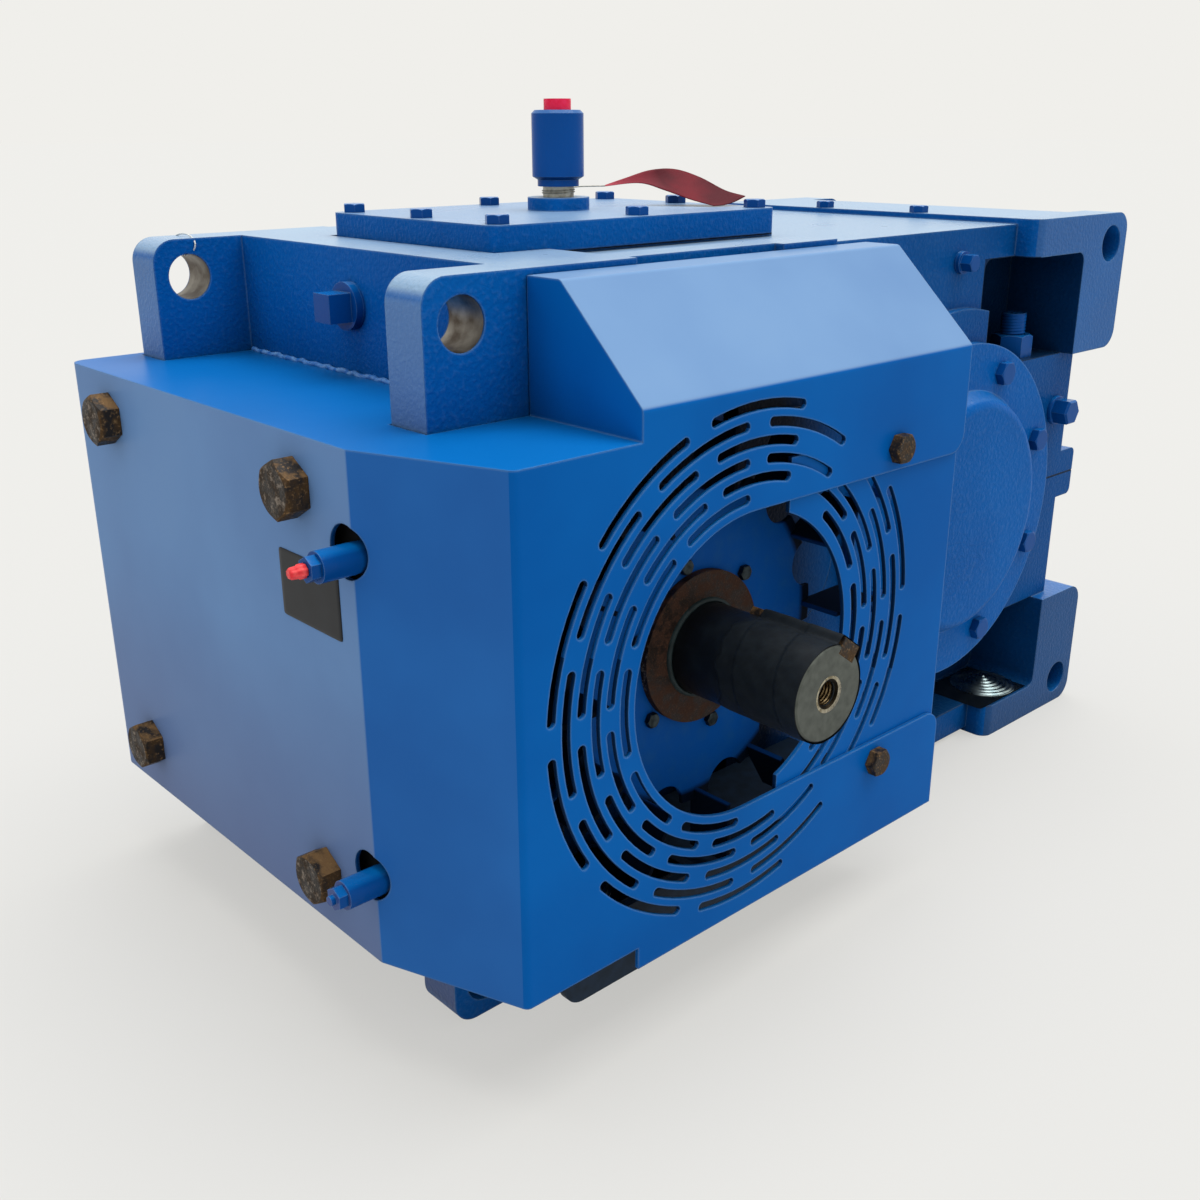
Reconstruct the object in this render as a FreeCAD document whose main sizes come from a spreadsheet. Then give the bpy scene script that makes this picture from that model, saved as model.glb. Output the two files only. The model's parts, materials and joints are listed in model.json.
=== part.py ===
"""Parallel-shaft gear reducer with a fan-cooled input end.

A horizontally split cast housing carries three parallel shafts in its split plane. The input shaft
turns a fan behind a slotted sheet-metal cowl and drives two stages of helical gears to the output shaft.
The origin is the centre of the four foot holes at the level of the feet. +X runs from the fan end to
the output end, the shafts lie along Y with the input shaft pointing to -Y, and +Z is up. Millimetres.
"""
import FreeCAD, Part
import math
import os
import Sketcher

os.makedirs("parts", exist_ok=True)
doc = FreeCAD.newDocument("gear_reducer")
sheet = doc.addObject("Spreadsheet::Sheet", "Sizes")
pieces = []


# Sizes that carry both their number and the expression that the document is bound to
class Size:
    def __init__(self, value, text):
        self.value = value
        self.text = text

    def __add__(self, other):
        other = as_size(other)
        return Size(self.value + other.value, f"({self.text} + {other.text})")

    def __sub__(self, other):
        other = as_size(other)
        return Size(self.value - other.value, f"({self.text} - {other.text})")

    def __mul__(self, other):
        other = as_size(other)
        return Size(self.value * other.value, f"({self.text} * {other.text})")

    def __truediv__(self, other):
        other = as_size(other)
        return Size(self.value / other.value, f"({self.text} / {other.text})")

    def __neg__(self):
        return Size(-self.value, f"(0 - {self.text})")

    def __radd__(self, other):
        return as_size(other) + self

    def __rsub__(self, other):
        return as_size(other) - self

    def __rmul__(self, other):
        return as_size(other) * self


def as_size(item):
    if isinstance(item, Size):
        return item
    return Size(float(item), f"({float(item)!r})")


def size(name, number):
    """Write one driving dimension into the sheet and give it back under its name."""
    size.row += 1
    sheet.set(f"A{size.row}", name)
    sheet.set(f"B{size.row}", str(number))
    sheet.setAlias(f"B{size.row}", name)
    return Size(float(number), f"Sizes.{name}")


size.row = 0


# Sketches, pads, cuts and turned bodies
PLANES = {"X": "YZ_Plane", "Y": "XZ_Plane", "Z": "XY_Plane"}
UP = FreeCAD.Vector(0, 0, 1)


def bind(item, prop, amount):
    item.setExpression(prop, as_size(amount).text)


def new_body(label):
    body = doc.addObject("PartDesign::Body", label)
    body.Label = label
    return body


def new_sketch(body, axis, at):
    """A sketch square to an axis; on the Y axis its own normal points to -Y."""
    plane = next(item for item in body.Origin.OriginFeatures if item.Role == PLANES[axis])
    sketch = body.newObject("Sketcher::SketchObject", "Sketch")
    sketch.AttachmentSupport = (plane, "")
    sketch.MapMode = "FlatFace"
    bind(sketch, "AttachmentOffset.Base.z", -as_size(at) if axis == "Y" else at)
    return sketch


def hold_point(sketch, curve, end, x, y):
    """Tie one point of a curve to its two coordinates."""
    for kind, amount in (("DistanceX", as_size(x)), ("DistanceY", as_size(y))):
        index = sketch.addConstraint(Sketcher.Constraint(kind, -1, 1, curve, end, amount.value))
        bind(sketch, f"Constraints[{index}]", amount)


def draw_half_disc(sketch, x, y, radius, side):
    """Half a disc that stands on (side 1) or hangs from (side -1) the level of its centre."""
    circle = Part.Circle(FreeCAD.Vector(x.value, y.value, 0), UP, radius.value)
    start = 0 if side > 0 else math.pi
    arc = sketch.addGeometry(Part.ArcOfCircle(circle, start, start + math.pi), False)
    first = (x + radius * side, y)
    last = (x - radius * side, y)
    ends = [FreeCAD.Vector(px.value, py.value, 0) for px, py in (last, first)]
    chord = sketch.addGeometry(Part.LineSegment(*ends), False)
    sketch.addConstraint(Sketcher.Constraint("Coincident", arc, 2, chord, 1))
    sketch.addConstraint(Sketcher.Constraint("Coincident", arc, 1, chord, 2))
    hold_point(sketch, chord, 1, *last)
    hold_point(sketch, chord, 2, *first)
    index = sketch.addConstraint(Sketcher.Constraint("DistanceY", -1, 1, arc, 3, y.value))
    bind(sketch, f"Constraints[{index}]", y)


def draw(sketch, shape):
    """A shape is a list of corners (x, y), a circle (x, y, radius) or a half disc (x, y, radius, side)."""
    if isinstance(shape, tuple) and len(shape) == 4:
        draw_half_disc(sketch, *(as_size(item) for item in shape[:3]), shape[3])
        return
    if isinstance(shape, tuple):
        x, y, radius = (as_size(item) for item in shape)
        centre = FreeCAD.Vector(x.value, y.value, 0)
        curve = sketch.addGeometry(Part.Circle(centre, UP, radius.value), False)
        hold_point(sketch, curve, 3, x, y)
        index = sketch.addConstraint(Sketcher.Constraint("Radius", curve, radius.value))
        bind(sketch, f"Constraints[{index}]", radius)
        return
    corners = [(as_size(x), as_size(y)) for x, y in shape]
    ends = corners[1:] + corners[:1]
    first = None
    for (x0, y0), (x1, y1) in zip(corners, ends):
        start = FreeCAD.Vector(x0.value, y0.value, 0)
        line = Part.LineSegment(start, FreeCAD.Vector(x1.value, y1.value, 0))
        curve = sketch.addGeometry(line, False)
        first = curve if first is None else first
    for step, (x, y) in enumerate(corners):
        before = first + (step - 1) % len(corners)
        sketch.addConstraint(Sketcher.Constraint("Coincident", before, 2, first + step, 1))
        hold_point(sketch, first + step, 1, x, y)


def pad(body, axis, low, high, *shapes):
    """Add the shapes as a prism between two levels of an axis."""
    sketch = new_sketch(body, axis, high if axis == "Y" else low)
    for shape in shapes:
        draw(sketch, shape)
    feature = body.newObject("PartDesign::Pad", "Pad")
    feature.Profile = sketch
    bind(feature, "Length", as_size(high) - low)
    doc.recompute()
    if feature.Shape.isNull():
        raise RuntimeError(f"a pad in {body.Label} failed")
    return feature


def cut(body, axis, low, high, *shapes):
    """Remove the shapes as a prism between two levels of an axis, and prove that something went."""
    doc.recompute()
    before = body.Shape.Volume
    sketch = new_sketch(body, axis, low if axis == "Y" else high)
    for shape in shapes:
        draw(sketch, shape)
    feature = body.newObject("PartDesign::Pocket", "Pocket")
    feature.Profile = sketch
    bind(feature, "Length", as_size(high) - low)
    doc.recompute()
    if not body.Shape.Volume < before:
        raise RuntimeError(f"a cut in {body.Label} removed nothing")
    return feature


def box(x0, x1, y0, y1):
    return [(x0, y0), (x1, y0), (x1, y1), (x0, y1)]


def round_edges(body, radius, wanted):
    """Fillet the edges whose middle point passes a test."""
    doc.recompute()
    base = body.Tip
    names = []
    for number, edge in enumerate(base.Shape.Edges, start=1):
        middle = edge.valueAt((edge.FirstParameter + edge.LastParameter) / 2)
        if wanted(edge, middle):
            names.append(f"Edge{number}")
    if not names:
        raise RuntimeError(f"no edge of {body.Label} to round")
    feature = body.newObject("PartDesign::Fillet", "Fillet")
    feature.Base = (base, names)
    bind(feature, "Radius", radius)
    doc.recompute()
    return feature


def near(number, amount):
    return abs(number - as_size(amount).value) < MATCH


def turn(body, along, profile, x=0, y=0, z=0):
    """Turn a half profile of (radius, place) corners round an axis, then move it to its place."""
    sketch = new_sketch(body, "Y" if along == "Z" else "Z", 0)
    if along == "X":
        draw(sketch, [(place, radius) for radius, place in profile])
    else:
        draw(sketch, profile)
    feature = body.newObject("PartDesign::Revolution", "Revolution")
    feature.Profile = sketch
    feature.ReferenceAxis = (sketch, ["H_Axis" if along == "X" else "V_Axis"])
    feature.Angle = 360
    for letter, amount in zip("xyz", (x, y, z)):
        bind(body, f"Placement.Base.{letter}", amount)
    doc.recompute()
    return body


def tube(inner, outer, low, high):
    """Half profile of a plain ring."""
    return [(inner, low), (outer, low), (outer, high), (inner, high)]


def hexagon(flats):
    corner = flats / math.sqrt(3)
    angles = [math.radians(60 * k) for k in range(6)]
    return [(corner * math.cos(angle), corner * math.sin(angle)) for angle in angles]


def bevel_head(body, flats, top):
    """Turn the corners of a hexagon head down to the usual 30 degree cone."""
    inner = flats * HEAD_FACE
    outer = flats * HEAD_CLEAR
    fall = (outer - inner) * math.tan(math.radians(30))
    sketch = new_sketch(body, "Y", 0)
    draw(sketch, [(inner, top), (outer, top), (outer, top - fall)])
    feature = body.newObject("PartDesign::Groove", "Groove")
    feature.Profile = sketch
    feature.ReferenceAxis = (sketch, ["V_Axis"])
    feature.Angle = 360
    doc.recompute()


def hex_bolt(label, flats, head, shank_radius, shank):
    """A bolt on the Z axis, with the underside of its head at zero."""
    body = new_body(label)
    pad(body, "Z", 0, head, hexagon(flats))
    pad(body, "Z", -shank, 0, (0, 0, shank_radius))
    bevel_head(body, flats, head)
    return body


def group(label, master, spots):
    """Copies of one piece, each at a point and with its Z axis along a direction, as one node."""
    doc.recompute()
    solids = []
    for point, direction in spots:
        copy = master.Shape.copy()
        turned = FreeCAD.Rotation(UP, FreeCAD.Vector(*direction))
        place = FreeCAD.Vector(*(as_size(item).value for item in point))
        copy.Placement = FreeCAD.Placement(place, turned).multiply(copy.Placement)
        solids.append(copy)
    item = doc.addObject("Part::Feature", label)
    item.Label = label
    item.Shape = Part.makeCompound(solids)
    keep(item)
    return item


def keep(item):
    pieces.append(item)
    return item


def joined(label, kind, first, second):
    """A fuse or a cut of two objects, kept as one node."""
    item = doc.addObject(kind, label)
    item.Label = label
    if kind == "Part::MultiFuse":
        item.Shapes = [first, second]
    else:
        item.Base = first
        item.Tool = second
    return keep(item)


MATCH = 0.01
HEAD_FACE = 0.475
HEAD_CLEAR = 0.6
TOWARDS_FRONT = (0, -1, 0)
TOWARDS_BACK = (0, 1, 0)
TOWARDS_LEFT = (-1, 0, 0)
UPWARDS = (0, 0, 1)

# Driving dimensions of the housing
centre_height = size("centre_height", 315)
input_to_wall = size("input_to_wall", 128)
stage_one_centres = size("stage_one_centres", 215)
stage_two_centres = size("stage_two_centres", 282)
output_to_wall = size("output_to_wall", 248)
half_width = size("half_width", 237)
wall_recess = size("wall_recess", 28)
boss_recess = size("boss_recess", 17)
rim_height = size("rim_height", 6)
end_wall = size("end_wall", 22)
side_wall = size("side_wall", 20)
top_wall = size("top_wall", 20)
flange_reach = size("flange_reach", 33)
flange_thickness = size("flange_thickness", 30)
flange_corner = size("flange_corner", 8)
split_round = size("split_round", 2)
boss_wall = size("boss_wall", 22)
boss_length = size("boss_length", 70)
output_boss_radius = size("output_boss_radius", 226)
lug_over_left = size("lug_over_left", 92)
lug_over_right = size("lug_over_right", 62)
lug_thickness = size("lug_thickness", 45)
lug_height = size("lug_height", 159)
lug_root = size("lug_root", 140)
lug_root_left = size("lug_root_left", 118)
top_strip_start = size("top_strip_start", 55)
top_strip_length = size("top_strip_length", 131)
top_strip_recess = size("top_strip_recess", 10)
top_strip_drop = size("top_strip_drop", 34)
pocket_corner = size("pocket_corner", 12)
lug_corner = size("lug_corner", 22)
foot_corner = size("foot_corner", 14)
lug_hole_radius = size("lug_hole_radius", 21)
lug_hole_inset = size("lug_hole_inset", 35)
pocket_depth = size("pocket_depth", 94)
pocket_end = size("pocket_end", 33)
pocket_roof = size("pocket_roof", 41)
pocket_wall = size("pocket_wall", 14)
pocket_upper = size("pocket_upper", 165)
pocket_lower = size("pocket_lower", 253)
pocket_fan_end = size("pocket_fan_end", 243)
foot_hole_radius = size("foot_hole_radius", 19.5)
foot_hole_inset = size("foot_hole_inset", 77)
foot_hole_edge = size("foot_hole_edge", 47)
fit_gap = size("fit_gap", 0.1)
run_gap = size("run_gap", 0.3)
past = size("past", 2)

# Driving dimensions of the shafts, bearings and gears
input_bore = size("input_bore", 90)
middle_bore = size("middle_bore", 75)
output_bore = size("output_bore", 125)
bearing_width = size("bearing_width", 60)
cover_spigot = size("cover_spigot", 8)
race_thickness = size("race_thickness", 11)
input_journal = size("input_journal", 45)
middle_journal = size("middle_journal", 38)
output_journal = size("output_journal", 70)
input_end_radius = size("input_end_radius", 40)
centre_thread_radius = size("centre_thread_radius", 10)
centre_mouth_radius = size("centre_mouth_radius", 13)
centre_depth = size("centre_depth", 44)
end_chamfer = size("end_chamfer", 2)
output_end_radius = size("output_end_radius", 65)
output_end_length = size("output_end_length", 200)
seal_thickness = size("seal_thickness", 8)
seal_width = size("seal_width", 12)
gear_backlash = size("gear_backlash", 2)
stage_one_width = size("stage_one_width", 90)
stage_two_width = size("stage_two_width", 110)
stage_gap = size("stage_gap", 20)
hub_wall = size("hub_wall", 12)
key_width = size("key_width", 22)
key_height = size("key_height", 14)
key_sunk = size("key_sunk", 9)
INPUT_TEETH = 20
MIDDLE_TEETH = 54
MIDDLE_PINION_TEETH = 17
OUTPUT_TEETH = 46
HELIX_DEGREES = 10
PRESSURE_DEGREES = 20
ADDENDUM = 0.85
DEDENDUM = 1.15

# Driving dimensions of the cowl and fan
sheet_metal = size("sheet_metal", 4)
cowl_gap = size("cowl_gap", 1.5)
cowl_left = size("cowl_left", 161)
cowl_front = size("cowl_front", 126)
cowl_back = size("cowl_back", 12)
chamfer_along = size("chamfer_along", 48)
chamfer_across = size("chamfer_across", 126)
shelf_height = size("shelf_height", 205)
skirt_depth = size("skirt_depth", 214)
panel_drop = size("panel_drop", 20)
hood_left = size("hood_left", 125)
panel_right = size("panel_right", 287)
fold_height = size("fold_height", 228)
hood_height = size("hood_height", 310)
hood_back = size("hood_back", 39)
fold_radius = size("fold_radius", 6)
back_corner = size("back_corner", 16)
shaft_opening = size("shaft_opening", 131)
arm_corner = size("arm_corner", 18)
access_start = size("access_start", 45)
access_overlap = size("access_overlap", 34)
slot_outer_ring = size("slot_outer_ring", 214)
slot_ring_pitch = size("slot_ring_pitch", 14.4)
slot_width = size("slot_width", 8)
slot_margin = size("slot_margin", 7)
SLOT_RINGS = 6
SLOTS_PER_RING = 10
SLOT_HALF_DEGREES = 14.7
cowl_bolt_spread = size("cowl_bolt_spread", 164)
cowl_bolt_flats = size("cowl_bolt_flats", 41)
cowl_bolt_head = size("cowl_bolt_head", 19)
cowl_bolt_radius = size("cowl_bolt_radius", 12)
cowl_bolt_length = size("cowl_bolt_length", 60)
spacer_radius = size("spacer_radius", 20)
grease_below_lug = size("grease_below_lug", 23)
grease_hole = size("grease_hole", 21)
grease_hole_shift = size("grease_hole_shift", 8)
grease_hole_drop = size("grease_hole_drop", 4)
grease_pipe_radius = size("grease_pipe_radius", 12)
grease_pipe_shift = size("grease_pipe_shift", 3)
grease_pipe_drop = size("grease_pipe_drop", 8)
grease_pipe_reach = size("grease_pipe_reach", 28)
access_bolt_along = size("access_bolt_along", 184)
access_bolt_up = size("access_bolt_up", 151)
fan_setback = size("fan_setback", 60)
fan_radius = size("fan_radius", 200)
fan_sheet = size("fan_sheet", 4)
fan_disc_radius = size("fan_disc_radius", 148)
fan_notch_start = size("fan_notch_start", 128)
fan_notch_round = size("fan_notch_round", 22)
fan_blade_start = size("fan_blade_start", 138)
fan_blade_depth = size("fan_blade_depth", 40)
fan_bolt_circle = size("fan_bolt_circle", 76)
fan_hub_radius = size("fan_hub_radius", 92)
fan_hub_length = size("fan_hub_length", 38)
FAN_BLADES = 12
FAN_TURN_DEGREES = 1
FAN_BOLTS = 6
FAN_BOLT_START = 43.5
labyrinth_radius = size("labyrinth_radius", 67)
labyrinth_thickness = size("labyrinth_thickness", 7)
input_reach = size("input_reach", 80)
INPUT_KEY_DEGREES = 36

# Driving dimensions of covers, plugs, bolts and the breather
output_flange_radius = size("output_flange_radius", 191)
output_flange = size("output_flange", 15)
output_disc_radius = size("output_disc_radius", 128)
output_disc = size("output_disc", 19)
output_disc_slope = size("output_disc_slope", 12)
output_bolt_circle = size("output_bolt_circle", 165)
OUTPUT_BOLTS = 8
input_flange_radius = size("input_flange_radius", 125)
input_flange = size("input_flange", 16)
input_bolt_circle = size("input_bolt_circle", 108)
INPUT_BOLTS = 6
cover_bolt_flats = size("cover_bolt_flats", 24)
cover_bolt_head = size("cover_bolt_head", 10)
cover_bolt_radius = size("cover_bolt_radius", 7)
cover_bolt_grip = size("cover_bolt_grip", 12)
stud_radius = size("stud_radius", 13.5)
stud_hole_wall = size("stud_hole_wall", 14)
stud_seat = size("stud_seat", 60)
stud_top = size("stud_top", 50)
nut_flats = size("nut_flats", 41)
nut_height = size("nut_height", 26)
hatch_centre = size("hatch_centre", 112)
hatch_length = size("hatch_length", 359)
hatch_width = size("hatch_width", 254)
hatch_set_in = size("hatch_set_in", 4)
hatch_clear = size("hatch_clear", 1)
hatch_thickness = size("hatch_thickness", 24)
hatch_pad = size("hatch_pad", 2)
hatch_land = size("hatch_land", 32)
hatch_bolt_inset = size("hatch_bolt_inset", 17)
hatch_corner = size("hatch_corner", 14)
gasket_thickness = size("gasket_thickness", 1.5)
hatch_bolt_flats = size("hatch_bolt_flats", 19)
hatch_bolt_head = size("hatch_bolt_head", 8)
hatch_bolt_radius = size("hatch_bolt_radius", 6)
hatch_bolt_grip = size("hatch_bolt_grip", 8)
breather_boss_radius = size("breather_boss_radius", 30)
breather_boss = size("breather_boss", 12)
breather_neck_radius = size("breather_neck_radius", 15)
breather_neck = size("breather_neck", 10)
breather_radius = size("breather_radius", 25)
breather_length = size("breather_length", 69)
breather_edge = size("breather_edge", 3)
breather_shoulder = size("breather_shoulder", 6)
breather_shoulder_radius = size("breather_shoulder_radius", 20)
breather_cap_radius = size("breather_cap_radius", 13)
breather_cap_height = size("breather_cap_height", 10)
plug_radius = size("plug_radius", 15)
plug_flange_radius = size("plug_flange_radius", 21)
plug_flange = size("plug_flange", 7)
plug_head = size("plug_head", 22)
plug_square = size("plug_square", 25)
plug_hex = size("plug_hex", 17)
small_plug_radius = size("small_plug_radius", 7)
small_plug_flange_radius = size("small_plug_flange_radius", 12)
small_plug_flange = size("small_plug_flange", 4)
small_plug_head = size("small_plug_head", 13)
plug_drop = size("plug_drop", 49)
plug_grip = size("plug_grip", 14)
front_plug_drop = size("front_plug_drop", 40)
level_plug_along = size("level_plug_along", 219)
level_plug_height = size("level_plug_height", 86)
seal_ring = size("seal_ring", 2)

# Places that follow from the driving dimensions
half_length = (input_to_wall + stage_one_centres + stage_two_centres + output_to_wall) / 2
input_x = input_to_wall - half_length
middle_x = input_x + stage_one_centres
output_x = middle_x + stage_two_centres
wall_y = half_width - wall_recess
boss_y = half_width - boss_recess
lug_inner_y = half_width - lug_thickness
main_height = centre_height - rim_height
band_height = centre_height - lug_height
grease_height = band_height - grease_below_lug
plug_height = centre_height - plug_drop
front_plug_height = centre_height - front_plug_drop
cavity_height = main_height - top_wall
pocket_top = centre_height - pocket_roof
pocket_y = half_width - pocket_depth
column_y = pocket_y - pocket_wall
bearing_outer_y = boss_y - cover_spigot
bearing_inner_y = bearing_outer_y - bearing_width
stud_hole = stud_radius + run_gap * 5
stud_right_x = output_x + output_bore + stud_hole_wall + stud_hole
stud_left_x = (input_x + input_bore + middle_x - middle_bore) / 2
foot_x = half_length - foot_hole_inset
foot_y = half_width - foot_hole_edge
cowl_left_x = -half_length - cowl_left
cowl_chamfer_x = cowl_left_x + chamfer_along
cowl_front_y = -half_width - cowl_front
cowl_chamfer_y = cowl_front_y + chamfer_across
cowl_back_y = half_width + cowl_back
hood_left_x = input_x - hood_left
panel_right_x = input_x + panel_right
hood_fold_y = -half_width - hood_back
hatch_x = input_x + hatch_centre
hatch_seat = centre_height + main_height + hatch_pad
hatch_underside = hatch_seat + gasket_thickness
hatch_top = hatch_underside + hatch_thickness
fan_y = cowl_front_y + fan_setback
SIDES = (-1, 1)


def level(side, height):
    """Height of a point that lies above (side 1) or below (side -1) the split plane by some amount."""
    return centre_height + as_size(height) * side


def span(side, low, high):
    """Two heights in rising order, for the upper or the lower half."""
    ends = (level(side, low), level(side, high))
    return ends if side > 0 else ends[::-1]


def mirrored(side, low, high):
    """Two places in rising order, for the back (side 1) or the front (side -1)."""
    return (as_size(low), as_size(high)) if side > 0 else (-as_size(high), -as_size(low))


# Housing halves: shell, bearing band, lugs, access pockets, bores and stud holes
def housing_half(label, side, pocket_length):
    body = new_body(label)
    bottom, top = span(side, 0, main_height)
    pad(body, "Z", bottom, top, box(-half_length, half_length, -wall_y, wall_y))
    low, high = span(side, 0, band_height)
    pad(body, "Z", low, high, box(-half_length, half_length, -boss_y, boss_y))
    low, high = span(side, 0, flange_thickness)
    reach = half_length + flange_reach
    pad(body, "Z", low, high, box(-reach, reach, -boss_y, boss_y))
    pad(body, "Y", -boss_y, boss_y, (output_x, centre_height, output_boss_radius, side))
    low, high = span(side, -past, cavity_height)
    inner_x = half_length - end_wall
    inner_y = wall_y - side_wall
    cut(body, "Z", low, high, box(-inner_x, inner_x, -inner_y, inner_y))
    pocket_right = half_length - pocket_end
    pocket_left = pocket_right - pocket_length
    fan_pocket = pocket_fan_end - pocket_right
    bottom, top = span(side, 0, main_height)
    columns = []
    pockets = []
    for across in SIDES:
        low, high = mirrored(across, column_y, wall_y - past)
        columns.append(box(pocket_left - pocket_wall, half_length - past, low, high))
        columns.append(box(past - half_length, fan_pocket + pocket_wall, low, high))
        low, high = mirrored(across, pocket_y, half_width + past)
        pockets.append(box(pocket_left, pocket_right, low, high))
        pockets.append(box(-pocket_right, fan_pocket, low, high))
    pad(body, "Z", bottom, top, *columns)
    for across in SIDES:
        low, high = mirrored(across, boss_y - boss_length, wall_y - past)
        bosses = [(x, centre_height, radius + boss_wall, side) for x, radius in bores()]
        pad(body, "Y", low, high, *bosses)
        add_lugs(body, side, across)
    low, high = span(side, main_height - past, centre_height)
    rim_start = half_length - lug_root
    rim_y = lug_inner_y + past
    rim_left = lug_root_left - half_length
    rims = [box(rim_start, half_length, -rim_y, rim_y), box(-half_length, rim_left, -rim_y, rim_y)]
    pad(body, "Z", low, high, *rims)
    cut(body, "Y", -boss_y - past, boss_y + past, *[(x, centre_height, radius) for x, radius in bores()])
    low, high = span(side, band_height, pocket_top)
    cut(body, "Z", low, high, *pockets)
    roof = level(side, pocket_top)
    ends = (pocket_left, pocket_right, -pocket_right, fan_pocket)

    def roof_corner(edge, middle):
        at_end = any(near(middle.x, x) for x in ends)
        return at_end and near(middle.z, roof) and abs(middle.y) > pocket_y.value

    round_edges(body, pocket_corner, roof_corner)
    return body


def bores():
    """The three shaft axes along X, each with the radius of its bearing bore."""
    return [(input_x, input_bore), (middle_x, middle_bore), (output_x, output_bore)]


def add_lugs(body, side, across):
    """The proud corner plates with their lifting and tie-down holes, on the front or the back."""
    y0, y1 = mirrored(across, lug_inner_y, half_width)
    high = level(side, centre_height)
    low = level(side, centre_height - lug_height)
    left_end = -half_length - lug_over_left
    right_end = half_length + lug_over_right
    right_root = half_length - lug_root
    left_root = lug_root_left - half_length
    pad(body, "Y", y0, y1, box(left_end, left_root, low, high), box(right_root, right_end, low, high))
    strip_low = level(side, centre_height - top_strip_drop)
    strip_left = stud_left_x + top_strip_start
    pad(body, "Y", y0, y1, box(strip_left, stud_left_x + top_strip_length, strip_low, high))
    y0, y1 = mirrored(across, lug_inner_y, half_width - top_strip_recess)
    pad(body, "Y", y0, y1, box(left_root - past, strip_left + past, strip_low, high))


def lug_holes(body, side):
    height = level(side, centre_height - lug_hole_inset)
    places = (-half_length - lug_over_left + lug_hole_inset, half_length + lug_over_right - lug_hole_inset)
    cut(body, "Y", -half_width - past, half_width + past, *[(x, height, lug_hole_radius) for x in places])


def round_lugs(body, side):
    """Round the outer corners of the four lugs of a half, the foot roots and the ends of its flange."""
    ends = (-half_length - lug_over_left, half_length + lug_over_right)
    heights = (level(side, centre_height), level(side, centre_height - lug_height))

    def corner(edge, middle):
        flat = edge.Length < lug_thickness.value + 1
        return flat and any(near(middle.x, x) for x in ends) and any(near(middle.z, z) for z in heights)

    round_edges(body, lug_corner, corner)
    root = half_length - lug_root

    def foot_edge(edge, middle):
        upright = edge.BoundBox.ZLength > past.value
        return upright and near(middle.x, root) and near(abs(middle.y), half_width)

    round_edges(body, foot_corner, foot_edge)
    reach = half_length + flange_reach

    def flange_edge(edge, middle):
        return near(abs(middle.x), reach) and near(middle.z, level(side, flange_thickness))

    def split_edge(edge, middle):
        return near(abs(middle.x), reach) and near(middle.z, centre_height)

    round_edges(body, flange_corner, flange_edge)
    round_edges(body, split_round, split_edge)


def stud_places():
    return [(x, across * foot_y) for x in (stud_left_x, stud_right_x) for across in SIDES]


def make_housing_upper():
    body = housing_half("housing_upper", 1, pocket_upper)
    round_lugs(body, 1)
    lug_holes(body, 1)
    stud_holes = [(x, y, stud_hole) for x, y in stud_places()]
    cut(body, "Z", centre_height, centre_height + band_height, *stud_holes)
    top = centre_height + main_height
    pad(body, "Z", top - past, hatch_seat, hatch_box(hatch_set_in))
    cut(body, "Z", hatch_seat, centre_height * 2 + past, hatch_box(-hatch_clear))
    cut(body, "Z", top - top_wall - past, hatch_seat, hatch_box(hatch_land))
    holes = [(x, y, hatch_bolt_radius + fit_gap) for x, y in hatch_bolt_places()]
    cut(body, "Z", hatch_seat - hatch_bolt_grip - past, hatch_seat, *holes)
    wall_hole = (0, level(1, plug_height), plug_radius + fit_gap)
    cut(body, "X", -half_length - past, end_wall + past - half_length, wall_hole)
    front_hole = (output_x, level(1, front_plug_height), small_plug_radius + fit_gap)
    cut(body, "Y", -wall_y - past, side_wall + past - wall_y, front_hole)
    level_hole = (output_x + level_plug_along, level(1, level_plug_height), small_plug_radius + fit_gap)
    cut(body, "Y", -boss_y - past, plug_grip + past - boss_y, level_hole)
    drill_cover_holes(body)
    return keep(body)


def make_housing_lower():
    body = housing_half("housing_lower", -1, pocket_lower)
    round_lugs(body, -1)
    lug_holes(body, -1)
    holes = [(x, y, stud_radius + fit_gap) for x, y in stud_places()]
    cut(body, "Z", centre_height - stud_seat - past, centre_height, *holes)
    feet = [(x, across * foot_y, foot_hole_radius) for x in (-foot_x, foot_x) for across in SIDES]
    cut(body, "Z", 0, pocket_roof, *feet)
    drill_cover_holes(body)
    return keep(body)


def circle_places(x, radius, count, start):
    """Points spread evenly on a circle round a shaft axis."""
    places = []
    for step in range(count):
        angle = math.radians(start + step * 360 / count)
        places.append((x + radius * math.cos(angle), centre_height + radius * math.sin(angle)))
    return places


def output_bolt_places():
    return circle_places(output_x, output_bolt_circle, OUTPUT_BOLTS, 180 / OUTPUT_BOLTS)


def input_bolt_places():
    return circle_places(input_x, input_bolt_circle, INPUT_BOLTS, 180 / INPUT_BOLTS)


def drill_cover_holes(body):
    """Tapped holes for the cover bolts in one half: only the bolts on its own side of the split."""
    bounds = body.Shape.BoundBox
    places = output_bolt_places() + input_bolt_places()
    places = [spot for spot in places if bounds.ZMin < spot[1].value < bounds.ZMax]
    holes = [(x, z, cover_bolt_radius + fit_gap) for x, z in places]
    deep = cover_bolt_grip + past
    cut(body, "Y", -boss_y - past, deep - boss_y, *holes)
    cut(body, "Y", boss_y - deep, boss_y + past, *holes)


# Clamp studs and nuts that hold the two halves together
def make_clamps():
    stud = turn(new_body("clamp_stud"), "Z", tube(0, stud_radius, -stud_seat, band_height + stud_top))
    group("clamp_studs", stud, [((x, y, centre_height), UPWARDS) for x, y in stud_places()])
    nut = new_body("clamp_nut")
    pad(nut, "Z", 0, nut_height, hexagon(nut_flats), (0, 0, stud_radius + fit_gap))
    bevel_head(nut, nut_flats, nut_height)
    group("clamp_nuts", nut, [((x, y, level(1, band_height)), UPWARDS) for x, y in stud_places()])


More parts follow.
